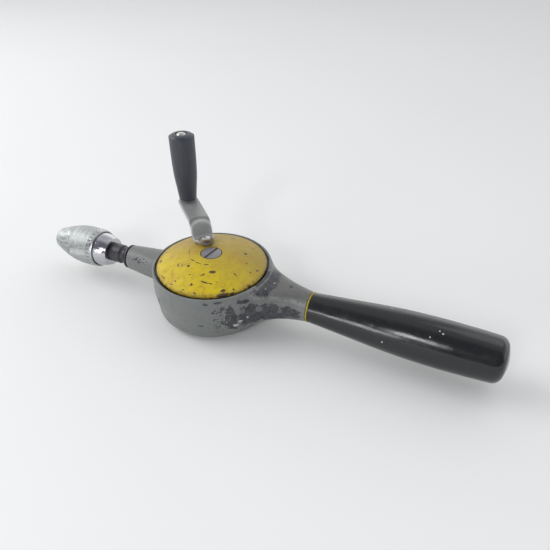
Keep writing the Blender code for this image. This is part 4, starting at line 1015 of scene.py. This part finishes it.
def rivet_frame():
    """From the rivet's own frame, square to the crank arm's foot with its origin on the cover's top."""
    point = (RIVET_POSITION, 0.0, dome_z(RIVET_POSITION))
    tilt = Matrix.Rotation(FOOT_TILT, 4, "Y")
    return Matrix.Rotation(CRANK_ANGLE, 4, "Z") @ Matrix.Translation(point) @ tilt


def make_rivet():
    seat = 2 * ARM_GAP + ARM_THICKNESS
    reach, ball = 5.05, 6.2
    drop = math.sqrt(ball**2 - reach**2)
    head = []
    for i in range(13):
        a = math.asin(reach / ball) * (1 - i / 12)
        head.append((ball * math.sin(a), seat + ball * math.cos(a) - drop))
    outline = [(0.0, -3.0), (2.0, -3.0), (2.0, seat), (reach - 0.2, seat), *head]
    points, faces = lathe(outline, 64)
    points[:, 2] += np.where(points[:, 2] > seat, rough(points, 2.5, 0.1, 9.0), 0.0)
    matrix = np.array(rivet_frame())
    points = points @ matrix[:3, :3].T + matrix[:3, 3]
    make_piece("crank_rivet_head", points, faces, "crank", "bright_steel", "crank_rivet", "rivet")


def make_knob():
    """A tapered grip with a domed top, sunk a little where the pin is peened over."""
    low, high = box("crank_knob")
    radius = (high.x - low.x) / 2 - 0.01
    side = smooth_curve([
        (6.1, low.z + 0.4), (6.9, 64.0), (7.9, 73.0), (8.4, 84.0),
        (radius, high.z - 3.3), (radius - 0.35, high.z - 1.7), (7.1, high.z - 0.65),
        (5.6, high.z - 0.15), (4.3, high.z),
    ], 10)
    sink_z = high.z - 0.6
    sink = filleted([
        (4.3, high.z, 0), (4.0, high.z - 0.1, 0.1), (4.0, sink_z, 0.1),
        (2.8, sink_z, 0.1), (2.8, low.z, 0.1), (5.7, low.z, 0),
    ])
    points, faces = lathe([*side[:-1], *sink], 96, closed=True)
    make_piece("crank_grip", at_knob(points), faces, "knob", "black_plastic", "crank_knob")


def make_knob_pin():
    """The pin's end, hammered over into a low uneven dome."""
    low, high = box("knob_pin")
    seat = box("crank_knob")[1].z - 0.3
    angles = np.linspace(0, math.pi / 2, 9)
    dome = [(3.1 * math.cos(a), seat + (high.z - seat) * math.sin(a)) for a in angles[:-1]]
    foot = [(0.0, low.z), (2.6, low.z), (3.3, low.z + 1.2), (2.2, low.z + 1.2), (2.2, seat)]
    outline = [*foot, *dome, (0.0, high.z)]
    points, faces = lathe(evened(outline, 0.5), 48)
    hammered = rough(points, 1.1, 0.16, 5.0)
    points[:, 2] += np.where(points[:, 2] > seat + 0.1, hammered - 0.16, 0.0)
    make_piece("knob_pin_head", at_knob(points), faces, "crank", "bright_steel", "knob_pin")


def make_knob_washer():
    low, high = box("knob_washer")
    points, faces = washer(2.5, 5.9, low.z, high.z, 0.2, 64)
    make_piece("grip_washer", at_knob(points), faces, "crank", "plated_steel", "knob_washer")


# --- spindle and chuck ---


def make_spindle():
    low, high = box("spindle")
    flange = 66.9
    collar_end = box("chuck_body")[0].x - 0.3
    journal = filleted([
        (0.0, low.x, 0), (2.5, low.x, 0.3), (2.5, 18, 0.1),
        (3.2, 18, 0.1), (3.2, 34, 0.1), (4.5, 34, 0.2),
        (4.5, flange, 0.1), (8.4, flange, 0.3), (8.4, flange + 1.2, 0.3),
        (6.6, flange + 2.5, 0.6), (5.4, flange + 4.4, 0.9),
        (5.4, 73.4, 0.9), (6.65, 74.6, 0.4), (6.65, collar_end, 0.3),
        (4.6, collar_end, 0.1), (4.6, 91, 0.1), (3.9, high.x, 0.1),
        (0.0, high.x, 0),
    ])
    points, faces = lathe(evened(journal, 1.5), 72)
    make_piece("spindle_shaft", along_spindle(points), faces, "spindle", "black_steel", "spindle")


def make_chuck_body():
    """The chuck's polished back, flat behind, and the barrel that the sleeve screws along."""
    low, high = box("chuck_body")
    guide = (high.z - low.z) / 2
    sleeve_x = box("chuck_sleeve")[0].x
    back = [(9.75, low.x + 0.35), (10.8, low.x + 2.9), (11.6, low.x + 6.0), (guide, sleeve_x)]
    back = smooth_curve(back, 12)
    face = filleted([(8.6, low.x, 0), (9.6, low.x, 0.3), back[0] + (0,)])
    rest = filleted([
        (guide, sleeve_x, 0), (guide, 95.4, 0.3), (9.4, 95.4, 0.2),
        (9.4, high.x, 0.5), (4.0, high.x, 0.2), (4.0, 92.6, 0.1),
        (4.8, 92.6, 0.1), (4.8, low.x, 0.3), (6.5, low.x, 0),
    ])
    points, faces = lathe([*face[:-1], *back[:-1], *rest], 120, closed=True)
    make_piece("chuck_back", along_spindle(points), faces, "spindle", "chrome", "chuck_body")


KNURL_STARTS = 56
KNURL_DEPTH = 0.32
KNURL_BAND = (97.4, 114.2)
KNURL_RADIUS = 13.6
LINES_X = (96.8, 114.8)  # a turned line at each end of the knurling
LINE_DEPTH = 0.45
NOTCH_COUNT = 28
NOTCH_DEPTH = 0.7
NOTCH_BAND = (93.6, 96.2)
SLEEVE_SEGMENTS = 336


def sleeve_outside(x):
    """Radius of the chuck sleeve's outside: a barrel that becomes a plain nose cone."""
    stations = [
        (92.5, 13.3), (95.2, 13.7), (101.0, 14.0), (107.0, 13.9), (112.4, 13.2), (118.2, 11.6),
        (124.0, 9.7), (129.8, 7.4), (131.2, 6.2),
    ]
    xs, radii = zip(*stations)
    return np.interp(x, xs, radii)


def band(x, span, edge):
    """1 inside a span of x and 0 outside it, with soft ends."""
    return np.clip(np.minimum(x - span[0], span[1] - x) / edge, 0, 1)


def knurl(x, angle):
    """Depth below the sleeve's outside: crossing grooves, notches at the back and a line at each end."""
    pitch = math.tau * KNURL_RADIUS / KNURL_STARTS
    turn = angle * KNURL_STARTS / math.tau
    one = np.abs((turn + x / pitch) % 1.0 - 0.5) * 2
    two = np.abs((turn - x / pitch) % 1.0 - 0.5) * 2
    groove = np.maximum(0.0, np.maximum(one, two) - 0.35) / 0.65
    depth = groove * KNURL_DEPTH * band(x, KNURL_BAND, 0.5)
    notch = np.abs((angle * NOTCH_COUNT / math.tau) % 1.0 - 0.5) * 2
    depth += np.clip((notch - 0.45) / 0.15, 0, 1) * NOTCH_DEPTH * band(x, NOTCH_BAND, 0.3)
    for line_x in LINES_X:
        depth += LINE_DEPTH * np.clip(1 - np.abs(x - line_x) / 0.4, 0, 1)
    return depth


def make_chuck_sleeve():
    low, high = box("chuck_sleeve")
    knurled = np.arange(low.x + 0.8, 116.2, 0.2)
    xs = [low.x + 0.5, *knurled, *np.linspace(116.4, 130.4, 30)]
    outside = [(float(sleeve_outside(x)), x) for x in xs]
    inside = filleted([
        (*outside[-1], 0), (6.3, high.x, 0.5), (5.0, high.x, 0.25),
        (5.0, 130.3, 0.1), (6.2, 130.3, 0.1), (10.75, 117, 0.2),
        (10.75, 110.5, 0.2), (9.7, 110.5, 0.1), (9.7, 104.8, 0.1),
        (12.4, 104.8, 0.2), (12.4, low.x, 0.2), (13.1, low.x, 0),
    ])
    points, faces = lathe([*outside[:-1], *inside], SLEEVE_SEGMENTS, closed=True)
    radius = np.hypot(points[:, 0], points[:, 1])
    angle = np.arctan2(points[:, 1], points[:, 0])
    outer = radius > sleeve_outside(points[:, 2]) - 0.1
    cut = np.where(outer, knurl(points[:, 2], angle), 0.0)
    points[:, :2] *= ((radius - cut) / radius)[:, None]
    points = along_spindle(points)
    make_piece("chuck_knurled_sleeve", points, faces, "sleeve", "satin_chrome", "chuck_sleeve", sharp=30.0)


# --- handle ---


def make_handle():
    low, high = box("handle")
    end_fillet = 6.0
    end_radius = 13.8
    bore_end = -128
    shoulder = low.x + end_fillet + 1.2
    side = smooth_curve([
        (9.6, high.x), (11.4, -92), (13.1, -112), (14.25, -130),
        (14.65, -150), (14.35, -167), (end_radius, shoulder),
    ], 12)
    corner = []
    for a in np.radians(np.linspace(0, 72, 12)):
        corner.append((end_radius - end_fillet * (1 - math.cos(a)), shoulder - end_fillet * math.sin(a)))
    crown = smooth_curve([corner[-1], (4.0, low.x + 0.15), (0.0, low.x)], 6)
    bore = filleted([
        (0.0, bore_end, 0), (STUD_BORE_RADIUS, bore_end, 0), (STUD_BORE_RADIUS, high.x, 0.2),
        (9.4, high.x, 0),
    ])
    outline = evened([*bore, *side[:-1], *corner[:-1], *crown], 1.2)
    points, faces = lathe(outline, 96)
    points[:, 2] = np.maximum(points[:, 2], low.x)
    radius = np.hypot(points[:, 0], points[:, 1])
    swell = np.where(radius > 8, rough(points * np.array([1.0, 1.0, 0.6]), 11, 0.05, 2.0), 0.0)
    points[:, :2] *= (1 + swell / np.maximum(radius, 1.0))[:, None]
    make_piece("handle_grip", along_spindle(points), faces, "frame", "black_gloss", "handle")


def make_ring():
    low, high = box("handle_ring")
    points, faces = washer(STUD_BORE_RADIUS, (high.z - low.z) / 2, low.x, high.x, 0.25, 96)
    make_piece("handle_collar", along_spindle(points), faces, "frame", "yellow_ring", "handle_ring")


# --- the model's own nodes ---


def dress_nodes():
    """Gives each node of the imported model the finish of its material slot."""
    for part in frame["record"]["subparts"]:
        materials = frame["nodes"][part["node"]].data.materials
        materials.clear()
        materials.append(finishes[part["material_slot"]])


# --- stage ---

CAMERA_PLACE = Vector((-153.4, 239.1, 231.0))
CAMERA_LOOK = Vector((0.3327, -0.7359, -0.5898))
CAMERA_LENS = 34.04
FLOOR_REACH = 6.0  # metres
FLOOR_DROP = 0.05  # keeps the floor clear of the drum's back
AIM = Vector((0.0, 0.0, 0.02))  # metres; every lamp points here
WORLD_PALE = (1.42, 1.43, 1.42, 1.0)
WORLD_OVERHEAD = (0.62, 0.62, 0.64, 1.0)
WORLD_DARK = (0.20, 0.195, 0.225, 1.0)


def make_camera():
    camera = bpy.data.objects.new("camera", bpy.data.cameras.new("camera"))
    camera.data.lens = CAMERA_LENS
    camera.data.clip_start = 0.01
    camera.location = CAMERA_PLACE * MM
    camera.rotation_euler = CAMERA_LOOK.to_track_quat("-Z", "Y").to_euler()
    bpy.context.scene.collection.objects.link(camera)
    bpy.context.scene.camera = camera


def make_floor():
    bm = bmesh.new()
    bmesh.ops.create_grid(bm, x_segments=1, y_segments=1, size=FLOOR_REACH)
    mesh = bpy.data.meshes.new("floor")
    bm.to_mesh(mesh)
    bm.free()
    floor = bpy.data.objects.new("floor", mesh)
    floor.location.z = -FLOOR_DROP * MM
    bpy.context.scene.collection.objects.link(floor)
    pale = Finish("floor_card", Roughness=0.75, Specular_IOR_Level=0.2)
    color = pale.mix(pale.noise(400, 2), (236, 237, 236), (241, 242, 241))
    mesh.materials.append(pale.wear(Base_Color=color))


def make_world():
    """A pale backdrop that is dark on the camera's side and dimmer overhead."""
    world = bpy.data.worlds.new("studio")
    world.use_nodes = True
    sky = Nodes(world.node_tree)
    way = sky.axes(sky.add("TexCoord").outputs["Generated"])
    camera_side = sky.times(sky.fade(way["Y"], -0.1, 0.3), sky.fade(way["Z"], 0.02, 0.1))
    color = sky.mix(sky.fade(way["Z"], 0.25, 0.8), WORLD_PALE, WORLD_OVERHEAD)
    color = sky.mix(camera_side, color, WORLD_DARK)
    sky.put(sky.tree.nodes["Background"].inputs["Color"], color)
    bpy.context.scene.world = world


def add_softbox(name, place, width, height, power):
    """A lamp, with its place and size in metres."""
    light = bpy.data.lights.new(name, "AREA")
    light.shape = "RECTANGLE"
    light.size, light.size_y = width, height
    light.energy = power
    lamp = bpy.data.objects.new(name, light)
    lamp.location = place
    lamp.rotation_euler = (AIM - Vector(place)).to_track_quat("-Z", "Y").to_euler()
    bpy.context.scene.collection.objects.link(lamp)


def make_lights():
    add_softbox("key_box", (0.04, 1.22, 0.80), 0.3, 0.3, 3.6)
    add_softbox("window", (0.33, 1.36, 0.37), 0.45, 0.3, 3.2)
    add_softbox("left_box", (1.3, 0.3, 1.0), 1.1, 1.1, 13.0)
    add_softbox("top_box", (-0.6, -1.0, 1.7), 1.0, 1.0, 2.6)
    bpy.context.scene.view_settings.view_transform = "Standard"


make_camera()
dress_nodes()
make_housing()
make_cover()
make_pivot_screw()
make_crank_arm()
make_rivet()
make_knob()
make_knob_pin()
make_knob_washer()
make_spindle()
make_chuck_body()
make_chuck_sleeve()
make_handle()
make_ring()
make_floor()
make_world()
make_lights()
